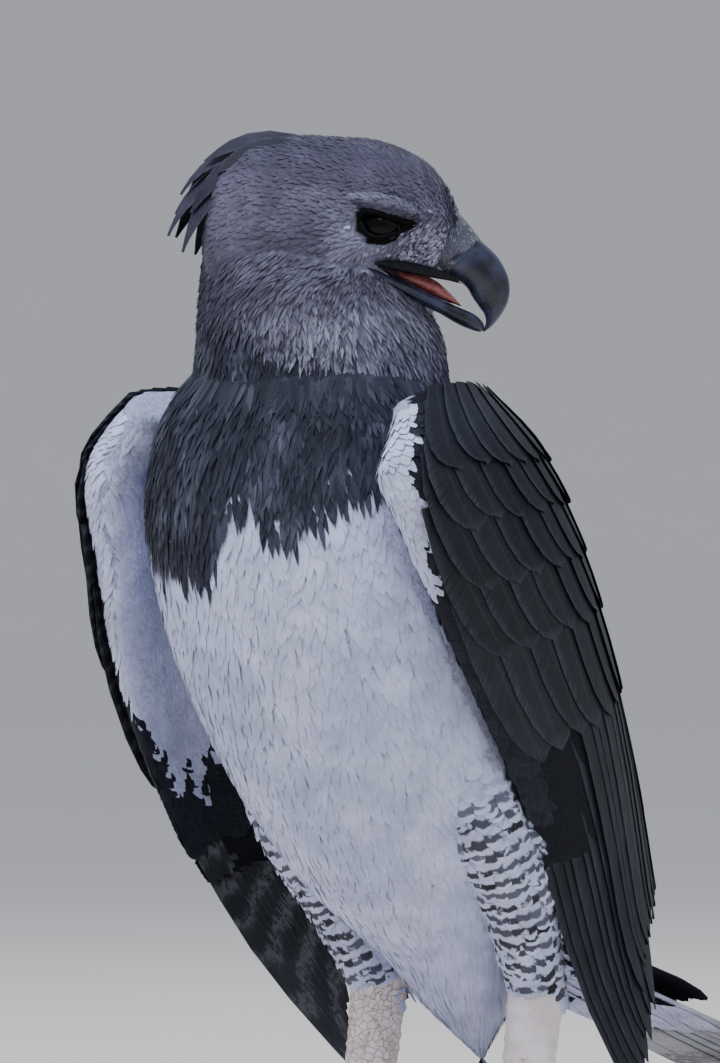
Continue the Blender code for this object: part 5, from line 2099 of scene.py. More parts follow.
@dataclass
class Body:
    """The skin and its small feathers."""

    finishes: dict
    rng: Generator
    marks: Markings

    def __post_init__(self) -> None:
        """Makes the forms, each with its rectangle on the unwrapped skin."""
        self.torso = TorsoForm(0.0040, (0.02, 0.02, 0.44, 0.36))
        self.neck = NeckForm(0.0030, (0.02, 0.40, 0.44, 0.14))
        self.head = HeadForm(0.0026, (0.02, 0.56, 0.44, 0.26))
        self.tail = TailForm(0.0012, (0.48, 0.86, 0.20, 0.12))
        self.thighs, self.wings, self.brows = {}, {}, {}
        for i, side in enumerate(Side):
            left = 0.48 + 0.24 * i
            self.thighs[side] = ThighForm(0.0026, (left, 0.02, 0.22, 0.28), side)
            self.wings[side] = WingForm(0.0022, (left, 0.32, 0.22, 0.40), side)
            cell = (0.02 + 0.12 * i, 0.84, 0.10, 0.05)
            self.brows[side] = TubeForm(0.0006, cell, tuple(BROW), float(side.value))

    def skin(self, shift: Array) -> tuple[Object, BVHTree]:
        """The one skin: every form's closed tube, fused by remeshing and opened at the mouth.

        Args:
            shift: Move from the source's place to the frame's.

        Returns:
            The skin and its search tree in the source's place.
        """
        parts = [
            (self.torso, self.marks.torso, (70, 64, 1.0)),
            (self.neck, self.marks.neck, (24, 60, 1.0)),
            (self.head, self.marks.head, (48, 56, 1.0)),
            (self.tail, self.marks.tail, (16, 32, 1.0)),
        ]
        parts += [(f, self.marks.thigh, (40, 36, 1.0)) for f in self.thighs.values()]
        parts += [(f, None, (60, 72, WING_SKIN_END)) for f in self.wings.values()]
        parts += [(f, self.marks.brow, (20, 14, 1.0)) for f in self.brows.values()]
        tubes, places, colours = [], [], []
        for form, colour, (rows, columns, end) in parts:
            grid = form.rings(rows, columns, end)
            tubes.append(loft(grid))
            v = np.linspace(0, end, rows)[:, None]
            u = np.linspace(0, 1, columns, endpoint=False)[None]
            v, u = (x.ravel() for x in np.broadcast_arrays(v, u))
            if colour is None:
                tint = pick(wing_pale(form, v, u), PLUMAGE.belly_shade, PLUMAGE.slate)
            else:
                tint = colour(Spots(v, u, form.point(v, u)))[0]
            places.append(grid.reshape(-1, 3))
            colours.append(tint)
        obj = add_piece(make_mesh("skin", *joined(tubes)), self.finishes["skin"])
        whole = self.fused(obj)
        obj.data = whole
        place = np.empty(len(whole.vertices) * 3, np.float32)
        whole.vertices.foreach_get("co", place)
        place = place.reshape(-1, 3)
        whole.polygons.foreach_set("use_smooth", np.ones(len(whole.polygons), bool))
        tree = BVHTree.FromPolygons(place.tolist(), [tuple(p.vertices) for p in whole.polygons])
        near = nearest(place, np.vstack(places).astype(np.float32))
        tint = np.vstack(colours)[near]
        point_colour(whole, "tint", np.column_stack([tint, np.zeros(len(tint))]))
        whole.vertices.foreach_set("co", (place + shift.astype(np.float32)).ravel())
        whole.update()
        return obj, tree

    def fused(self, obj: Object) -> Mesh:
        """One closed mesh of an object's overlapping tubes, with the mouth cut into it.

        Args:
            obj: The object, whose modifiers are cleared again.

        Returns:
            The mesh, without small loose parts.
        """
        remesh = obj.modifiers.new("whole", "REMESH")
        remesh.mode, remesh.voxel_size, remesh.use_smooth_shade = "VOXEL", VOXEL, True
        soft = obj.modifiers.new("soft", "SMOOTH")
        soft.factor, soft.iterations = 0.5, 3
        cutter = self.mouth_cutter()
        cut = obj.modifiers.new("mouth", "BOOLEAN")
        cut.object, cut.operation, cut.solver = cutter, "DIFFERENCE", "MANIFOLD"
        # The cut faces take the wedge's near-black finish, which is painted shade inside the mouth.
        cut.material_mode = "TRANSFER"
        evaluated = obj.evaluated_get(bpy.context.evaluated_depsgraph_get())
        whole = bpy.data.meshes.new_from_object(evaluated)
        obj.modifiers.clear()
        bpy.data.objects.remove(cutter, do_unlink=True)
        whole.name = "skin"
        drop_islands(whole)
        return whole

    def mouth_cutter(self) -> Object:
        """The wedge that opens the mouth from its corner forwards.

        Returns:
            The wedge.
        """
        points = np.array([(s, side * 0.06, h) for side in (-1, 1) for s, h in MOUTH])
        mesh = bpy.data.meshes.new("mouth")
        faces = [(2, 1, 0), (4, 5, 3), (1, 4, 3, 0), (2, 5, 4, 1), (0, 3, 5, 2)]
        mesh.from_pydata(from_head(points).tolist(), [], faces)
        return add_piece(mesh, self.finishes["mouth"])

    def small_feathers(self, tree: BVHTree) -> dict[str, Coat]:
        """Every coat of small feathers, by piece name.

        Args:
            tree: Search tree of the skin.

        Returns:
            The coats.
        """
        groom, cover, marks = Groomer(tree, self.rng).coat, Cover(self.marks), self.marks
        head, neck, torso = self.head, self.neck, self.torso
        size = Fixed(0.0032, 0.00042)
        lore = groom(head, 0.00125, marks.head, head_lie, size, FINE, cover.lore, 0.003)
        size = cover.face_size
        face = groom(head, 0.0017, marks.head, head_lie, size, FINE, cover.face, 0.003)
        out = {"face_feathers": Coat.joined([face, lore])}
        size = cover.head_size
        back = groom(head, 0.00225, marks.head, head_lie, size, FINE, cover.back, 0.006)
        out["head_feathers"] = back
        size, brows = Fixed(0.0048, 0.001), self.brows.values()
        brows = [groom(f, 0.0015, marks.brow, up_form, size, FINE, None, 0.002) for f in brows]
        out["brow_feathers"] = Coat.joined(brows)
        size = cover.ruff_size
        ruff = groom(neck, 0.0021, marks.ruff, ruff_lie, size, HAIR, cover.ruff, 0.008)
        out["ruff_feathers"] = ruff
        size = Fixed(0.022, 0.0021)
        collar = groom(neck, 0.003, marks.collar, up_form, size, SILKY, cover.collar, 0.01)
        out["neck_feathers"] = collar
        size = Fixed(0.024, 0.002)
        breast = groom(torso, 0.00322, marks.torso, down_form, size, SILKY, cover.breast)
        out["breast_feathers"] = breast
        size = Fixed(0.026, 0.0034)
        belly = groom(torso, 0.004, marks.torso, down_form, size, SOFT, cover.belly)
        out["belly_feathers"] = belly
        size = Fixed(0.018, 0.0058)
        for side, form in self.thighs.items():
            thigh = groom(form, 0.0082, marks.thigh, down_form, size, BARRED, None, 0.006, 0.14)
            out[f"thigh_feathers_{side.word}"] = thigh
        size = Fixed(0.014, 0.004)
        base = groom(self.tail, 0.0045, marks.tail, down_form, size, SOFT, None, 0.003)
        out["tail_base"] = base
        return out


def drop_islands(mesh: Mesh) -> None:
    """Deletes all but the largest connected part of a mesh.

    Each point takes the smallest number among its own and its neighbours', until none changes.

    Args:
        mesh: The mesh to clear.
    """
    ends = np.empty(len(mesh.edges) * 2, np.int32)
    mesh.edges.foreach_get("vertices", ends)
    a, b = ends.reshape(-1, 2).T
    label, before = np.arange(len(mesh.vertices)), None
    while before is None or not np.array_equal(label, before):
        before = label.copy()
        np.minimum.at(label, a, before[b])
        np.minimum.at(label, b, before[a])
        label = label[label]
    stray = np.flatnonzero(label != np.bincount(label).argmax())
    edit = bmesh.new()
    edit.from_mesh(mesh)
    edit.verts.ensure_lookup_table()
    bmesh.ops.delete(edit, geom=[edit.verts[i] for i in stray], context="VERTS")
    edit.to_mesh(mesh)
    edit.free()


def nearest(points: Array, among: Array) -> Array:
    """Number of the closest of some places for each point, by squared distances in blocks.

    Args:
        points: Points.
        among: The places.

    Returns:
        One number for each point.
    """
    blocks = []
    square = (among**2).sum(axis=1)
    for block in np.array_split(points, max(1, len(points) // 4000)):
        blocks.append((square[None] - 2.0 * block @ among.T).argmin(axis=1))
    return np.concatenate(blocks)


# The face: eyes, lids, bill, cere and tongue.


def bill_rings(
    sections: Sequence, rings: int, sides: int, ridge: float = 0.35, trough: float = 0.0
) -> Array:
    """Oval rings between ridge and edge points, narrower at the ridge.

    Height is a rounded cosine and width a rounded sine that narrows with the square of the cosine.

    Args:
        sections: Ridge point, edge point and half width of each.
        rings: Number of rings.
        sides: Points of each.
        ridge: How much narrower the ridge is.
        trough: Depth of a trough along it.

    Returns:
        The rings, in the head's directions.
    """
    last = len(sections) - 1
    rows = np.array([(i / last, *top, *edge, half) for i, (top, edge, half) in enumerate(sections)])
    s = np.linspace(0.0, 1.0, rings)
    rows = curve(rows, s)
    top, edge, half = rows[:, 0:2], rows[:, 2:4], rows[:, 4:5]
    angle = turns(sides)[None, :]
    height = signed_power(np.cos(angle), 0.85)
    width = signed_power(np.sin(angle), 0.8) * (1.0 - ridge * np.maximum(np.cos(angle), 0.0) ** 2)
    height = height - trough * np.exp(-((width / 0.5) ** 2)) * np.maximum(height, 0.0)
    middle, reach = (top + edge) / 2.0, (top - edge) / 2.0
    plane = middle[:, None] + reach[:, None] * height[..., None]
    return np.stack([plane[..., 0], width * half, plane[..., 1]], axis=-1)


def oval_tube(centres: Array, half_side: Array, half_up: Array, sides: int) -> Array:
    """Oval rings square to a line: sine times the side direction and cosine times the upper one.

    Args:
        centres: The line.
        half_side: Half widths.
        half_up: Half heights.
        sides: Points of each ring.

    Returns:
        The rings.
    """
    along = unit(np.gradient(centres, axis=0))
    side = unit(np.cross((0.0, 0.0, 1.0), along))
    lift = np.cross(along, side)
    angle = turns(sides)[None, :, None]
    across = side[:, None] * np.sin(angle) * half_side[:, None, None]
    return centres[:, None] + across + lift[:, None] * np.cos(angle) * half_up[:, None, None]


@dataclass
class Face:
    """Eyes, lids, cere, bill, mouth and tongue."""

    finishes: dict
    shift: Array

    def add(
        self, name: str, grid: Array, finish: str, slot: str, replaces: Sequence[str] = ()
    ) -> Object:
        """A closed loft as a piece.

        Args:
            name: The piece's name.
            grid: Its rings.
            finish: Name of its material.
            slot: Not used.
            replaces: Solids whose place it takes.

        Returns:
            The piece.
        """
        obj = add_piece(make_mesh(name, *loft(grid + self.shift)), self.finishes[finish])
        mount(obj, replaces)
        return obj

    def build(self) -> None:
        """Every piece of the face."""
        upper = bill_rings(UPPER_BILL, 60, 48)
        share = np.linspace(0.0, 1.0, 60)[:, None]
        angle = turns(48)[None, :]
        notch = np.exp(-(((angle - math.pi) / 0.5) ** 2) - ((share - 0.42) / 0.16) ** 2)
        upper[..., 2] += 0.0010 * notch
        self.add("upper_bill_horn", from_head(upper), "horn", "horn", ["upper_bill"])
        lower = bill_rings(LOWER_BILL, 48, 48, 0.0, 1.1)
        self.add("lower_bill_horn", from_head(lower), "horn", "horn", ["lower_bill"])
        self.cere()
        s = np.linspace(0.0, 1.0, 24)
        rows = curve(TONGUE, s)
        line = np.column_stack([rows[:, 0], 0 * s, rows[:, 1]])
        tongue = oval_tube(line, rows[:, 2], rows[:, 3], 24)
        groove = np.exp(-((tongue[..., 1] / 0.0016) ** 2)) * (tongue[..., 2] > line[:, None, 2])
        tongue[..., 2] -= 0.0008 * groove
        self.add("tongue_flesh", from_head(tongue), "tongue", "tongue", ["tongue"])
        for side in Side:
            self.eye(side)
            flip = np.array([1.0, side.value, 1.0])
            s = np.linspace(0.0, 1.0, 60)
            rows = curve(evenly(LIP), s)
            lip = oval_tube(from_head(rows[:, :3] * flip), rows[:, 3], rows[:, 4], 20)
            self.add(f"lip_{side.word}", lip, "lip", "cere")

    def cere(self) -> None:
        """The cere, dented along the slanting nostril and swollen round it."""
        grid = bill_rings(CERE, 40, 64)
        ends = np.array([(0.0618, 0.0, -0.0198), (0.0712, 0.0, -0.0165)])
        middle, reach = ends.mean(axis=0), (ends[1] - ends[0]) / 2.0
        local = grid - middle
        length = np.linalg.norm(reach)
        along = (local @ reach) / length
        across = local @ np.array([-reach[2], 0.0, reach[0]]) / length
        slit = np.exp(-((along / 0.0036) ** 4) - (across / 0.0011) ** 2)
        rim = np.exp(-((along / 0.0052) ** 4) - (across / 0.0030) ** 2) - slit
        sign = np.sign(grid[..., 1])
        grid[..., 1] -= sign * (0.0030 * slit - 0.0006 * rim)
        self.add("cere_skin", from_head(grid), "cere", "cere", ["cere"])

    def eye(self, side: Side) -> None:
        """One eye, a ball with a slight dome in front, and its two lids.

        Args:
            side: Which eye.
        """
        flip = np.array([1.0, side.value, 1.0])
        polar = np.linspace(0.02, math.pi - 0.02, 40)[:, None]
        angle = turns(56)[None, :]
        dome = 1.0 + 0.06 * np.exp(-((polar / 0.55) ** 2))
        axis = unit(np.array([0.30, 0.95, 0.02])) * flip
        right = unit(np.cross(axis, (0.0, 0.0, 1.0)))
        lift = np.cross(right, axis)
        ball = (
            axis * (np.cos(polar) * dome)[..., None]
            + right * (np.sin(polar) * np.cos(angle))[..., None]
            + lift * (np.sin(polar) * np.sin(angle))[..., None]
        )
        grid = from_head(EYE_PLACE * flip + ball * EYE_RADIUS)
        word = side.word
        eye = self.add(f"eyeball_{word}", grid, "eye", "eye", [f"eye_{word}"])
        ring = np.repeat(np.cos(np.linspace(0.02, math.pi - 0.02, 40)), 56)
        ring = np.append(ring, [1.0, -1.0])
        layer = eye.data.attributes.new("gaze", "FLOAT", "POINT")
        layer.data.foreach_set("value", ring.astype(np.float32))
        for which, lid in zip(("lower", "upper"), LIDS):
            s = np.linspace(0.0, 1.0, 40)
            rows = curve(evenly(lid), s)
            wide = np.sqrt(np.clip(1.0 - np.abs(2.0 * s - 1.0) ** 6, 0.05, 1.0))
            line = from_head(rows[:, :3] * flip)
            tube = oval_tube(line, rows[:, 3] * wide, rows[:, 4] * wide, 20)
            self.add(f"lid_{which}_{word}", tube, "lid", "grey_feather")


def mount(obj: Object, replaces: Sequence[str] = ()) -> None:
    """Makes a piece ride on the bird and hides the solids whose place it takes.

    Args:
        obj: The piece.
        replaces: Solids whose place it takes.
    """
    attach(obj, BODY)
    if replaces:
        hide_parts(*replaces)
    obj.data.calc_loop_triangles()
    LOG.info("%s: %d triangles", obj.name, len(obj.data.loop_triangles))


# The legs.


@dataclass
class Leg:
    """Bare shank and foot of one side, with plates, pads and claws."""

    side: Side
    finishes: dict
    shift: Array

    def build(self) -> None:
        """The shank, the toes with their claws, and the ball of the foot."""
        foot, word = self.shank(), self.side.word
        lofts = [self.toe(name, toe, foot) for name, toe in TOES.items()]
        points, quads, triangles = joined([*lofts, self.ball(foot)])
        mesh = make_mesh(f"toes_{word}", points + self.shift, quads, triangles)
        toes = add_piece(mesh, self.finishes["scaly"])
        mount(toes, [f"foot_{word}"])

    def shank(self) -> Array:
        """The shank, with broad plates in front on the left one and small scales on the right.

        Returns:
            The middle of the foot.
        """
        left, word = self.side is Side.LEFT, self.side.word
        t = np.linspace(-0.02, 1.0, 150)
        x = self.side.value * LEG_X + 0.0 * t
        y = ANKLE_Y[self.side] - TARSUS_FORWARD * t
        line = np.column_stack([x, y, TARSUS_TOP + (TARSUS_FOOT - TARSUS_TOP) * t])
        wide, deep = curve(TARSUS, t).T
        plates = 11 if left else 17
        grid = self.scaled(line, wide, deep, 72, plates, (0.0, -1.0, 0.0), not left)
        finish = self.finishes["plated" if left else "scaly"]
        shank = add_piece(make_mesh(f"shank_{word}", *loft(grid + self.shift)), finish)
        mount(shank, [f"tarsus_{word}"])
        return line[-1]

    def toe(self, name: str, toe: Toe, foot: Array) -> tuple[Array, Array, Array]:
        """One toe, with plates on top and pads below, and its claw as a piece of its own.

        Args:
            name: The toe's name.
            toe: Its sizes.
            foot: The middle of the foot.

        Returns:
            Points, quads and triangles of the toe.
        """
        turn, word = math.radians(toe.turn), self.side.word
        way = np.array([self.side.value * math.sin(turn), -math.cos(turn), 0.0])
        s = np.linspace(0.0, 1.0, 90)
        centres = foot + np.outer(s * toe.length, way)
        centres[:, 2] = 0.0175 - 0.0030 * s + 0.0010 * np.sin(s * 3.0 * math.pi)
        end = np.sqrt(np.clip(1.0 - ((s - 0.86) / 0.15).clip(0) ** 2, 0.18, 1.0))
        size = toe.radius * (1.0 - 0.22 * s) * end
        grid = self.scaled(centres, size, size * 0.95, 48, toe.plates, (0.0, 0.0, 1.0), False)
        for share in toe.pads:
            middle = foot + way * toe.length * share
            middle[2] = PAD_HEIGHT
            near = np.exp(-(((grid - middle) / PAD_REACH) ** 2).sum(axis=-1))
            below = np.clip((0.0165 - grid[..., 2]) / 0.006, 0.0, 1.0)
            out = unit(grid - centres[:, None])
            grid = grid + out * (0.0035 * near * below)[..., None]
        grid[..., 2] = np.maximum(grid[..., 2], SOLE)
        root = foot + way * (toe.length - 0.006)
        root[2] = CLAW_ROOT_HEIGHT
        claw = self.claw(root, way, toe.claw, toe.claw_radius) + self.shift
        nail = add_piece(make_mesh(f"talon_{word}_{name}", *loft(claw)), self.finishes["claw"])
        mount(nail, [f"claw_{word}_{name}"])
        return loft(grid)

    def ball(self, foot: Array) -> tuple[Array, Array, Array]:
        """The ball of the foot, rough all round and flat below.

        Args:
            foot: The middle of the foot.

        Returns:
            Points, quads and triangles.
        """
        polar = np.linspace(0.05, math.pi - 0.05, 40)[:, None]
        angle = turns(64)[None, :]
        x, y = np.sin(polar) * np.cos(angle), np.sin(polar) * np.sin(angle)
        ball = np.stack([x, y, np.cos(polar) + 0 * angle], axis=-1)
        rough = 1.0 + 0.012 * wobble(ball, 0.10, 2.0)
        ball = (foot[0], foot[1], 0.0150) + ball * (0.0200 * rough)[..., None]
        ball[..., 2] = np.maximum(ball[..., 2], SOLE)
        return loft(ball)

    def scaled(
        self,
        line: Array,
        wide: Array,
        deep: Array,
        sides: int,
        plates: int,
        front: Sequence,
        cracked: bool,
    ) -> Array:
        """Rings whose front swells in plates, each plate's lower edge proud of the next.

        The swell is a saw-tooth of the place along, times a share of the cosine round, and the back
        is pebbled with soft noise. Cracked plates are split by noise in both directions.

        Args:
            line: Centres.
            wide: Half widths.
            deep: Half depths.
            sides: Points round.
            plates: Number of plates.
            front: Direction of the plates.
            cracked: Whether the plates are broken up into many scales.

        Returns:
            The rings.
        """
        s = np.linspace(0.0, 1.0, len(line))[:, None]
        angle = turns(sides)[None, :]
        facing = np.clip(np.cos(angle) * 1.6 + 0.2, 0.0, 1.0)
        bow = 0.25 * (1.0 - np.cos(angle)) * (np.cos(angle) > 0)
        phase = (s * plates + bow) % 1.0
        saw = phase**1.5 * smooth(1.0 - phase, 0.0, 0.12)
        swell = 0.0010 * facing * (saw - 0.35)
        spot = np.stack([np.cos(angle) + 0 * s, np.sin(angle) + 0 * s, s * 7.0 + 0 * angle], axis=-1)
        pebble = 0.00035 * wobble(spot, 0.10, 1.0) * (1.0 - facing)
        if cracked:
            swell = 0.0004 * facing * (saw - 0.35) + 0.00040 * wobble(spot, 0.14, 6.0)
        along = unit(np.gradient(line, axis=0))
        side = unit(np.cross(np.asarray(front, float), along))
        lift = np.cross(along, side)
        across = np.sin(angle) * (wide[:, None] + swell + pebble)
        depth = np.cos(angle) * (deep[:, None] + swell + pebble)
        return line[:, None] + side[:, None] * across[..., None] + lift[:, None] * depth[..., None]

    def claw(self, start: Sequence, way: Array, length: float, radius: float) -> Array:
        """Rings of a cone bent along an arc that ends just over the floor.

        Args:
            start: Middle of the root.
            way: Direction ahead.
            length: Length along the arc.
            radius: Half width at the root.

        Returns:
            The rings.
        """
        bend = length / CLAW_TURN
        drop = (CLAW_TIP_HEIGHT - start[2]) / (2.0 * bend * math.sin(CLAW_TURN / 2.0))
        begin = CLAW_TURN / 2.0 + math.asin(max(-1.0, drop))
        s = np.linspace(0.0, 1.0, 48)
        angle = begin - CLAW_TURN * s
        out = bend * (math.sin(begin) - np.sin(angle))
        rise = bend * (np.cos(angle) - math.cos(begin))
        centres = np.asarray(start) + np.outer(out, way) + np.outer(rise, (0.0, 0.0, 1.0))
        size = radius * (1.0 - s) ** 0.75 + 0.0003
        side = np.cross(way, (0.0, 0.0, 1.0))
        lift = np.cross(side, unit(np.gradient(centres, axis=0)))
        angle = turns(28)[None, :, None]
        under = 1.0 - 0.14 * np.clip(-np.cos(angle), 0, 1) ** 2
        grid = centres[:, None] + side * np.sin(angle) * size[:, None, None] * 0.85
        return grid + lift[:, None] * np.cos(angle) * size[:, None, None] * under


# Finishes.


@dataclass
class Graph:
    """Short calls for laying out one material's nodes."""

    tree: bpy.types.NodeTree

    @classmethod
    def start(cls, name: str, slot: str) -> tuple["Graph", Material, bpy.types.Node]:
        """A new material with its graph and main shader.

        Args:
            name: Name of the material.
            slot: Its kind.

        Returns:
            The graph, the material and its main shader.
        """
        made = bpy.data.materials.new(name)
        made.use_nodes = True
        made["finish"] = slot
        return cls(made.node_tree), made, made.node_tree.nodes["Principled BSDF"]

    def node(self, kind: str, inputs: dict, **settings: object) -> bpy.types.Node:
        """A node with its settings made and its inputs set or linked.

        Args:
            kind: Kind of node.
            inputs: Values or sockets of its inputs.

        Returns:
            The node.
        """
        made = self.tree.nodes.new(kind)
        for key, value in settings.items():
            setattr(made, key, value)
        for key, value in inputs.items():
            self.feed(made.inputs[key], value)
        return made

    def feed(self, socket: Socket, value: object) -> None:
        """Sets a socket to a value, or links it.

        Args:
            socket: The input.
            value: The value, or the socket to link.
        """
        if isinstance(value, Socket):
            self.tree.links.new(value, socket)
        elif isinstance(value, tuple) and len(value) == 3 and socket.type == "RGBA":
            socket.default_value = (*value, 1.0)
        else:
            socket.default_value = value

    def calc(self, operation: str, a: object, b: object = 0.0, c: object = 0.0) -> Socket:
        """A sum of one to three numbers."""
        node = self.node("ShaderNodeMath", {0: a, 1: b, 2: c}, operation=operation)
        return node.outputs[0]

    def ramp(
        self, value: object, low: float, high: float, start: float = 0.0, end: float = 1.0
    ) -> Socket:
        """A smooth change from start to end while the value goes from low to high."""
        inputs = {"Value": value, "From Min": low, "From Max": high, "To Min": start, "To Max": end}
        return self.node("ShaderNodeMapRange", inputs, interpolation_type="SMOOTHSTEP").outputs[0]

    def mix(self, share: object, a: object, b: object, kind: str = "MIX") -> Socket:
        """Two colours mixed.

        Args:
            share: Share of the second colour.
            a: First colour.
            b: Second colour.
            kind: Kind of mixture.

        Returns:
            The mixed colour.
        """
        node = self.node("ShaderNodeMix", {}, data_type="RGBA", blend_type=kind)
        self.feed(node.inputs[0], share)
        self.feed(node.inputs[6], a)
        self.feed(node.inputs[7], b)
        return node.outputs[2]

    def vector(self, *parts: object) -> Socket:
        """Up to three numbers as one vector."""
        return self.node("ShaderNodeCombineXYZ", dict(enumerate(parts))).outputs[0]

    def vector_calc(self, operation: str, a: object, b: object) -> Socket:
        """A sum of two vectors, part by part."""
        return self.node("ShaderNodeVectorMath", {0: a, 1: b}, operation=operation).outputs[0]

    def noise(
        self, where: Socket, scale: float, detail: float = 3.0, rough: float = 0.55
    ) -> Socket:
        """Noise from 0 to 1."""
        inputs = {"Vector": where, "Scale": scale, "Detail": detail, "Roughness": rough}
        return self.node("ShaderNodeTexNoise", inputs).outputs[0]

    def attribute(self, name: str) -> bpy.types.Node:
        """A named attribute of the mesh."""
        return self.node("ShaderNodeAttribute", {}, attribute_name=name)

    def object_place(self) -> Socket:
        """Place in metres in the piece's own space."""
        return self.node("ShaderNodeTexCoord", {}).outputs["Object"]

    def bump(self, height: Socket, distance: float, strength: float = 1.0) -> Socket:
        """A normal from a height."""
        inputs = {"Height": height, "Distance": distance, "Strength": strength}
        return self.node("ShaderNodeBump", inputs).outputs[0]


SHAFT_COLOUR = (0.09, 0.085, 0.085)


class Pattern(Enum):
    """How a feather is barred."""

    PLAIN = 0
    CHEVRON = 1
    TAIL = 2
    FLIGHT = 3


@dataclass(frozen=True)
class Feather:
    """Feather finish: barbs that slant from the shaft, a paler edge, and bars.

    The barbs are noise drawn out along a slanting direction of the feather's own map. Bars come
    from its place along the feather, bent with the distance from the shaft.
    """

    name: str
    pattern: Pattern = Pattern.PLAIN
    barbs: float = 70.0
    rough: float = 0.62
    shaft: float = 0.0
    bar: tuple = (0.020, 0.019, 0.024)
    edge: tuple = (0.15, 0.155, 0.215)
    contrast: float = 0.30
    gloss: float = 0.14

    def build(self) -> Material:
        """Lays out the nodes.

        Returns:
            The material.
        """
        g, made, shader = Graph.start(self.name, "feather")
        uv = g.node("ShaderNodeUVMap", {}, uv_map="vane").outputs[0]
        split = g.node("ShaderNodeSeparateXYZ", {0: uv})
        across = g.calc("ABSOLUTE", g.calc("MULTIPLY_ADD", split.outputs[0], 2.0, -1.0))
        along = split.outputs[1]
        tint = g.attribute("tint")
        place = g.object_place()
        slant = g.calc("MULTIPLY_ADD", across, -0.16, along)
        lines = g.vector(g.calc("MULTIPLY", slant, self.barbs), g.calc("MULTIPLY", across, 1.4))
        apart = g.vector_calc("MULTIPLY", place, (31.0, 47.0, 23.0))
        barb = g.noise(g.vector_calc("ADD", lines, apart), 1.0, 2.0, 0.6)
        patch = g.noise(place, 55.0, 3.0, 0.6)
        light = g.ramp(barb, 0.30, 0.70, 1.0 - self.contrast, 1.0 + self.contrast)
        light = g.calc("MULTIPLY", light, g.ramp(patch, 0.25, 0.75, 0.84, 1.16))
        light = g.vector(light, light, light)
        colour = g.mix(1.0, tint.outputs["Color"], light, "MULTIPLY")
        rim = g.calc("MAXIMUM", g.ramp(across, 0.62, 1.0), g.ramp(along, 0.90, 1.0))
        rim = g.calc("MULTIPLY", rim, g.attribute("fringe").outputs["Fac"])
        rim = g.calc("MULTIPLY", rim, g.ramp(barb, 0.30, 0.65))
        colour = g.mix(rim, colour, self.edge)
        if self.pattern is not Pattern.PLAIN:
            bars = self.bars(g, along, across, barb, place, tint)
            colour = g.mix(bars, colour, self.bar_colour())
        if self.shaft > 0.0:
            aside = g.calc("ABSOLUTE", g.calc("SUBTRACT", split.outputs[0], 0.41))
            middle = g.calc("MULTIPLY", g.ramp(aside, 0.018, 0.035, 1.0, 0.0), self.shaft)
            colour = g.mix(middle, colour, SHAFT_COLOUR)
        g.feed(shader.inputs["Base Color"], colour)
        shader.inputs["Roughness"].default_value = self.rough
        shader.inputs["Specular IOR Level"].default_value = self.gloss
        shader.inputs["Sheen Weight"].default_value = 0.01
        shader.inputs["Sheen Roughness"].default_value = 0.4
        g.feed(shader.inputs["Normal"], g.bump(barb, 0.0002, 0.6))
        return made

    def bar_colour(self) -> tuple:
        """The bars' colour."""
        return PLUMAGE.tail_bar if self.pattern is Pattern.TAIL else self.bar

    def bars(
        self,
        g: Graph,
        along: Socket,
        across: Socket,
        barb: Socket,
        place: Socket,
        tint: bpy.types.Node,
    ) -> Socket:
        """Share of the bar colour.

        Args:
            g: The graph.
            along: Place from root to tip.
            across: Distance from the shaft.
            barb: Barb noise.
            place: Place in metres.
            tint: Attribute whose fourth part is the strength.

        Returns:
            The share.
        """
        strength = tint.outputs["Alpha"]
        ragged = g.calc("MULTIPLY_ADD", barb, 0.10, along)
        if self.pattern is Pattern.CHEVRON:
            drift = g.calc("MULTIPLY_ADD", g.noise(place, 90.0), 0.30, ragged)
            bent = g.calc("MULTIPLY_ADD", across, 0.05, drift)
            end = g.ramp(bent, 1.04, 1.10, 1.0, 0.0)
            band = g.calc("MULTIPLY", g.ramp(bent, 0.80, 0.87), end)
            broken = g.ramp(g.noise(place, 170.0, 2.0), 0.36, 0.46)
            return g.calc("MULTIPLY", g.calc("MULTIPLY", band, broken), strength)
        count, width = (5.0, 0.46) if self.pattern is Pattern.TAIL else (11.0, 0.40)
        bent = g.calc("MULTIPLY_ADD", g.noise(place, 60.0), 0.05, ragged)
        wave = g.calc("FRACT", g.calc("MULTIPLY", bent, count))
        end = g.ramp(wave, width, width + 0.08, 1.0, 0.0)
        band = g.calc("MULTIPLY", g.ramp(wave, 0.06, 0.14), end)
        mottle = g.ramp(g.noise(place, 240.0, 4.0, 0.65), 0.36, 0.56)
        return g.calc("MULTIPLY", g.calc("MULTIPLY", band, mottle), strength)


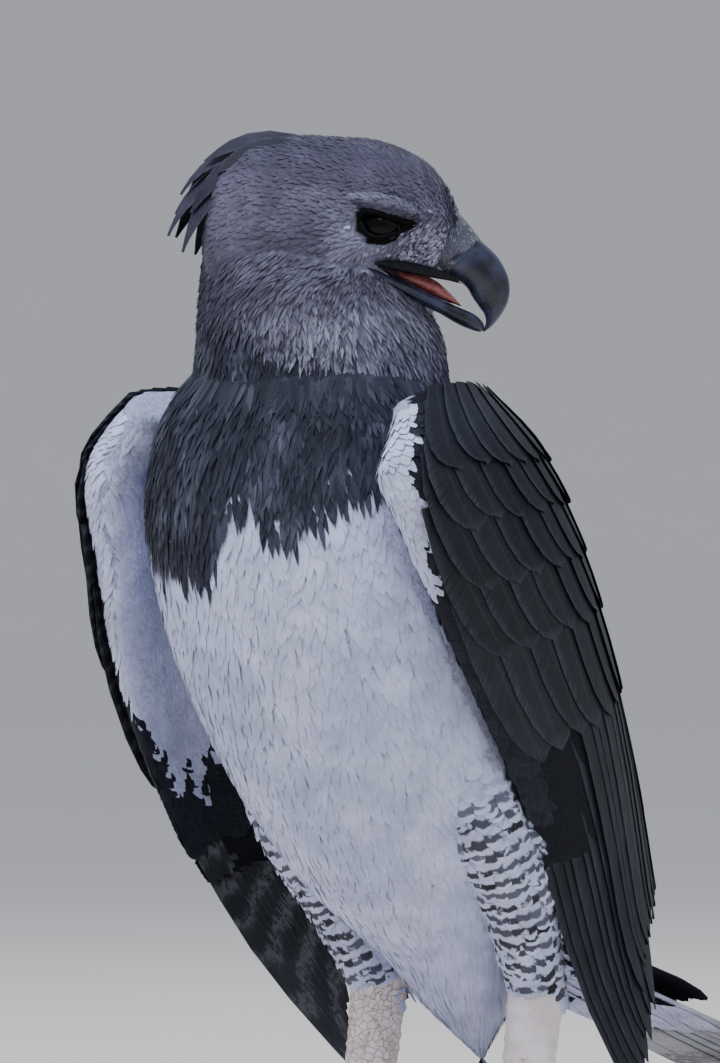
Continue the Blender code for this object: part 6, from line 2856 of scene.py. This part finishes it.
@dataclass(frozen=True)
class Surface:
    """A hard or bare finish: two colours mixed by noise, flecks, gloss and fine relief.

    Attributes:
        name: Name of the material.
        dark: Darker colour.
        light: Lighter colour.
        scale: Scale of the noise that mixes them.
        rough: Roughness.
        relief: Depth of the relief.
        coat: Strength of a clear coat.
        fleck: Colour of the flecks.
        fleck_scale: Their scale.
        fleck_share: How much they cover.
        subsurface: Share of light that goes in.
        cracks: Scale of the cracks between scales, or none.
        crack_colour: Their colour.
        gloss: Strength of the reflection.
    """

    name: str
    dark: tuple
    light: tuple
    scale: float
    rough: float
    relief: float
    coat: float = 0.0
    fleck: tuple = (0.0, 0.0, 0.0)
    fleck_scale: float = 300.0
    fleck_share: float = 0.0
    subsurface: float = 0.0
    cracks: float = 0.0
    crack_colour: tuple = (0.10, 0.07, 0.045)
    gloss: float = 0.45

    def build(self) -> Material:
        """Lays out the nodes.

        Returns:
            The material.
        """
        g, made, shader = Graph.start(self.name, "surface")
        place = g.object_place()
        base = g.noise(place, self.scale, 5.0, 0.6)
        colour = g.mix(g.ramp(base, 0.32, 0.68), self.dark, self.light)
        height = g.noise(place, self.scale * 5.0, 5.0, 0.65)
        if self.fleck_share > 0.0:
            spots = g.noise(place, self.fleck_scale, 4.0, 0.7)
            share = g.ramp(spots, 0.66 - 0.2 * self.fleck_share, 0.72 - 0.12 * self.fleck_share)
            colour = g.mix(g.calc("MULTIPLY", share, 0.85), colour, self.fleck)
            height = g.calc("MULTIPLY_ADD", share, 0.5, height)
        if self.cracks > 0.0:
            push = g.node("ShaderNodeTexNoise", {"Vector": place, "Scale": 160.0, "Detail": 4.0})
            push = g.vector_calc("MULTIPLY", push.outputs[1], (0.007, 0.007, 0.005))
            cells = {"Vector": g.vector_calc("ADD", place, push), "Scale": self.cracks}
            cell = g.node("ShaderNodeTexVoronoi", cells, feature="DISTANCE_TO_EDGE")
            edge = g.ramp(cell.outputs[0], 0.008, 0.065)
            colour = g.mix(edge, self.crack_colour, colour)
            height = g.calc("MULTIPLY_ADD", edge, 1.0, height)
        g.feed(shader.inputs["Base Color"], colour)
        rough = g.ramp(height, 0.3, 1.2, self.rough * 0.85, min(1.0, self.rough * 1.25))
        g.feed(shader.inputs["Roughness"], rough)
        shader.inputs["Coat Weight"].default_value = self.coat
        shader.inputs["Coat Roughness"].default_value = 0.14
        shader.inputs["Specular IOR Level"].default_value = self.gloss
        shader.inputs["Subsurface Weight"].default_value = self.subsurface
        shader.inputs["Subsurface Radius"].default_value = (0.6, 0.25, 0.15)
        shader.inputs["Subsurface Scale"].default_value = 0.002
        g.feed(shader.inputs["Normal"], g.bump(height, self.relief))
        return made


@dataclass(frozen=True)
class EyeFinish:
    """Near-black pupil in a very dark brown iris, under a clear gloss."""

    name: str = "dark_eye"

    def build(self) -> Material:
        """Lays out the nodes, from the cosine of the angle to the gaze.

        Returns:
            The material.
        """
        g, made, shader = Graph.start(self.name, "eye")
        gaze = g.attribute("gaze").outputs["Fac"]
        fibres = g.noise(g.object_place(), 900.0, 3.0, 0.6)
        iris = g.mix(fibres, (0.0015, 0.0012, 0.0012), (0.004, 0.003, 0.0028))
        colour = g.mix(g.ramp(gaze, 0.900, 0.915), iris, (0.002, 0.002, 0.002))
        colour = g.mix(g.ramp(gaze, 0.60, 0.66, 1.0, 0.0), colour, (0.006, 0.005, 0.006))
        g.feed(shader.inputs["Base Color"], colour)
        shader.inputs["Roughness"].default_value = 0.02
        shader.inputs["Specular IOR Level"].default_value = 0.13
        return made


@dataclass(frozen=True)
class SkinFinish:
    """The skin between the feathers, in their colours."""

    name: str = "plumage_ground"

    def build(self) -> Material:
        """Lays out the nodes.

        Returns:
            The material.
        """
        g, made, shader = Graph.start(self.name, "skin")
        place = g.object_place()
        fine = g.noise(place, 420.0, 4.0, 0.65)
        light = g.ramp(fine, 0.3, 0.7, 0.6, 1.0)
        light = g.vector(light, light, light)
        colour = g.mix(1.0, g.attribute("tint").outputs["Color"], light, "MULTIPLY")
        g.feed(shader.inputs["Base Color"], colour)
        shader.inputs["Roughness"].default_value = 0.85
        shader.inputs["Specular IOR Level"].default_value = 0.2
        g.feed(shader.inputs["Normal"], g.bump(fine, 0.0012))
        return made


@dataclass(frozen=True)
class FloorFinish:
    """Plain pale floor."""

    name: str = "pale_floor"
    colour: tuple = (0.82, 0.77, 0.68)

    def build(self) -> Material:
        """Lays out the nodes.

        Returns:
            The material.
        """
        g, made, shader = Graph.start(self.name, "floor")
        soft = g.noise(g.object_place(), 3.0, 2.0)
        light = tuple(c * 1.03 for c in self.colour)
        g.feed(shader.inputs["Base Color"], g.mix(soft, self.colour, light))
        shader.inputs["Roughness"].default_value = 0.9
        shader.inputs["Specular IOR Level"].default_value = 0.1
        return made


def finishes() -> dict[str, Material]:
    """Every finish.

    Returns:
        The materials by their short names.
    """
    kinds = {
        "contour": Feather("contour_feather"),
        "fine": Feather("face_feather", barbs=16.0, contrast=0.22, rough=0.72),
        "bars": Feather("barred_feather", Pattern.CHEVRON, barbs=40.0, contrast=0.08, rough=0.72),
        "soft": Feather("soft_feather", barbs=40.0, contrast=0.06, rough=0.75, gloss=0.15),
        "flight": Feather(
            "flight_feather",
            Pattern.FLIGHT,
            barbs=150.0,
            rough=0.46,
            shaft=0.12,
            bar=(0.30, 0.30, 0.33),
            gloss=0.16,
        ),
        "tail": Feather("tail_feather", Pattern.TAIL, barbs=220.0, rough=0.52, shaft=0.6),
        "skin": SkinFinish(),
        "horn": Surface(
            "bill_horn",
            dark=(0.007, 0.008, 0.014),
            light=(0.033, 0.038, 0.080),
            scale=70.0,
            rough=0.30,
            relief=0.0002,
            coat=0.30,
            fleck=(0.12, 0.13, 0.19),
            fleck_scale=170.0,
            fleck_share=0.02,
            gloss=0.36,
        ),
        "claw": Surface(
            "claw_horn",
            dark=(0.008, 0.008, 0.010),
            light=(0.022, 0.022, 0.026),
            scale=90.0,
            rough=0.26,
            relief=0.0002,
            coat=0.5,
        ),
        # Pale flecks on the dark cere: partly its mottling, and partly painted glints on its glossy
        # skin.
        "cere": Surface(
            "cere_skin",
            dark=(0.016, 0.017, 0.028),
            light=(0.085, 0.087, 0.125),
            scale=260.0,
            rough=0.34,
            relief=0.0009,
            coat=0.40,
            fleck=(0.36, 0.36, 0.48),
            fleck_scale=620.0,
            fleck_share=0.70,
            gloss=0.4,
        ),
        "lid": Surface(
            "eyelid_skin",
            dark=(0.0015, 0.0015, 0.002),
            light=(0.0035, 0.0035, 0.0045),
            scale=400.0,
            rough=0.60,
            relief=0.0003,
            gloss=0.06,
        ),
        "lip": Surface(
            "gape_skin",
            dark=(0.002, 0.002, 0.003),
            light=(0.008, 0.008, 0.012),
            scale=300.0,
            rough=0.40,
            relief=0.0003,
            gloss=0.20,
        ),
        # Painted shade: the inside of the mouth is near-black dark red, standing in for the shade
        # within it.
        "mouth": Surface(
            "mouth_lining",
            dark=(0.010, 0.006, 0.006),
            light=(0.03, 0.014, 0.014),
            scale=200.0,
            rough=0.5,
            relief=0.0003,
        ),
        "tongue": Surface(
            "tongue_flesh",
            dark=(0.36, 0.07, 0.07),
            light=(0.62, 0.22, 0.21),
            scale=220.0,
            rough=0.30,
            relief=0.0004,
            coat=0.4,
            subsurface=0.25,
        ),
        "scaly": Surface(
            "scaly_skin",
            dark=(0.80, 0.68, 0.66),
            light=(0.94, 0.88, 0.90),
            scale=90.0,
            rough=0.50,
            relief=0.0004,
            coat=0.06,
            subsurface=0.06,
            cracks=230.0,
            crack_colour=(0.60, 0.42, 0.34),
        ),
        "plated": Surface(
            "plated_skin",
            dark=(0.76, 0.65, 0.66),
            light=(0.94, 0.90, 0.93),
            scale=70.0,
            rough=0.50,
            relief=0.0005,
            coat=0.06,
            fleck=(0.62, 0.36, 0.18),
            fleck_scale=45.0,
            fleck_share=0.25,
            subsurface=0.06,
        ),
        "eye": EyeFinish(),
        "floor": FloorFinish(),
    }
    return {name: kind.build() for name, kind in kinds.items()}


# Floor, light and camera.


@dataclass(frozen=True)
class Lamp:
    """A square soft light that looks at the bird.

    Attributes:
        name: Its name.
        turn: Degrees round from the camera, to the left.
        height: Degrees up.
        far: Distance.
        size: Side of the square.
        power: Watts.
        colour: Colour.
    """

    name: str
    turn: float
    height: float
    far: float
    size: float
    power: float
    colour: tuple


LAMPS = (
    Lamp("key", 30.0, 56.0, 2.8, 1.4, 82.0, (0.90, 0.94, 1.0)),
    Lamp("fill", -60.0, 15.0, 3.2, 2.4, 8.0, (0.84, 0.91, 1.0)),
    Lamp("rim", 190.0, 45.0, 3.0, 1.4, 26.0, (0.88, 0.93, 1.0)),
)
LAMP_AIM = Vector((0.0, 0.0, 0.33))
SKY = (0.69, 0.77, 0.98, 1.0)
SKY_STRENGTH = 0.72
# The photograph's viewpoint.
CAMERA = (3.17456, -3.86327, 0.3649)
CAMERA_TURN = math.radians(40.0)
CAMERA_LENS = 315.0
CAMERA_SENSOR = 36.0


def direction(turn: float, height: float = 0.0) -> Vector:
    """From the bird outwards, a turn round from its front and an angle up."""
    level = math.cos(height)
    return Vector((math.sin(turn) * level, -math.cos(turn) * level, math.sin(height)))


@dataclass
class Studio:
    """Plain pale floor, soft light and the photograph's viewpoint."""

    floor: Material
    shift: Array

    def build(self) -> None:
        """Floor, lights, world and camera."""
        s = np.linspace(0.0, 1.0, 60)[:, None]
        reach = 30.0 * s**1.6
        rise = 14.0 * smooth(s, 0.62, 1.0) ** 1.5
        angle = turns(96)[None, :]
        grid = np.stack([reach * np.cos(angle), reach * np.sin(angle), rise + 0.0 * angle], axis=-1)
        grid = grid.reshape(-1, 3) + (0.0, 0.0, -0.0002)
        mesh = make_mesh("floor", grid, grid_faces(60, 96, True))
        add_piece(mesh, self.floor)
        for lamp in LAMPS:
            self.lamp(lamp)
        world = bpy.data.worlds.new("studio")
        bpy.context.scene.world = world
        world.use_nodes = True
        back = world.node_tree.nodes["Background"]
        back.inputs[0].default_value = SKY
        back.inputs[1].default_value = SKY_STRENGTH
        self.camera()

    def lamp(self, lamp: Lamp) -> None:
        """One light.

        Args:
            lamp: Its place and strength.
        """
        light = bpy.data.lights.new(lamp.name, "AREA")
        light.energy, light.size, light.color = lamp.power, lamp.size, lamp.colour
        way = direction(CAMERA_TURN - math.radians(lamp.turn), math.radians(lamp.height))
        obj = link(lamp.name, light)
        obj.location = LAMP_AIM + way * lamp.far
        obj.rotation_euler = way.to_track_quat("Z", "Y").to_euler()

    def camera(self) -> None:
        """The camera, level, at the photograph's angle and framing."""
        data = bpy.data.cameras.new("camera")
        data.sensor_width = CAMERA_SENSOR
        data.sensor_fit = "AUTO"
        data.clip_start, data.clip_end = 0.1, 200.0
        data.lens = CAMERA_LENS
        obj = link("camera", data)
        obj.location = Vector(CAMERA) + Vector(self.shift)
        obj.rotation_euler = direction(CAMERA_TURN).to_track_quat("Z", "Y").to_euler()
        bpy.context.scene.camera = obj


def main() -> None:
    """Builds every piece in turn and notes the sizes."""
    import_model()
    logging.basicConfig(level=logging.INFO, stream=sys.stdout, format="%(name)s: %(message)s")
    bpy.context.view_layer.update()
    low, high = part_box("eye_left")
    shift = (np.array(low) + np.array(high)) / 2.0 - from_head(EYE_PLACE)
    shift[2] = 0.0
    rng = np.random.default_rng(SEED)
    paints = finishes()
    body = Body(paints, rng, Markings(rng))
    skin, tree = body.skin(shift)
    flesh = ["torso", "neck", "head", "tail"]
    flesh += [f"{part}_{side.word}" for part in ("thigh", "wing") for side in Side]
    mount(skin, flesh)
    kinds = {
        "face": ("fine", "grey_feather"),
        "head": ("fine", "grey_feather"),
        "brow": ("fine", "grey_feather"),
        "ruff": ("fine", "grey_feather"),
        "neck": ("contour", "slate_feather"),
        "breast": ("contour", "slate_feather"),
        "belly": ("soft", "white_feather"),
        "thigh": ("bars", "white_feather"),
        "tail": ("soft", "white_feather"),
    }
    for name, coat in body.small_feathers(tree).items():
        finish, slot = kinds[name.split("_")[0]]
        mount(coat.piece(name, paints[finish], shift))
    for side in Side:
        wing = Wing(body.wings[side], paints)
        mount(wing.flight(rng, shift))
        coat = wing.small(rng)
        mount(coat.piece(f"wing_edge_{side.word}", paints["contour"], shift))
        Leg(side, paints, shift).build()
    for piece in Tail(paints).build(rng, shift):
        mount(piece)
    mount(Crest(paints).build(rng, shift))
    Face(paints, shift).build()
    Studio(paints["floor"], shift).build()


if __name__ == "__main__":
    main()
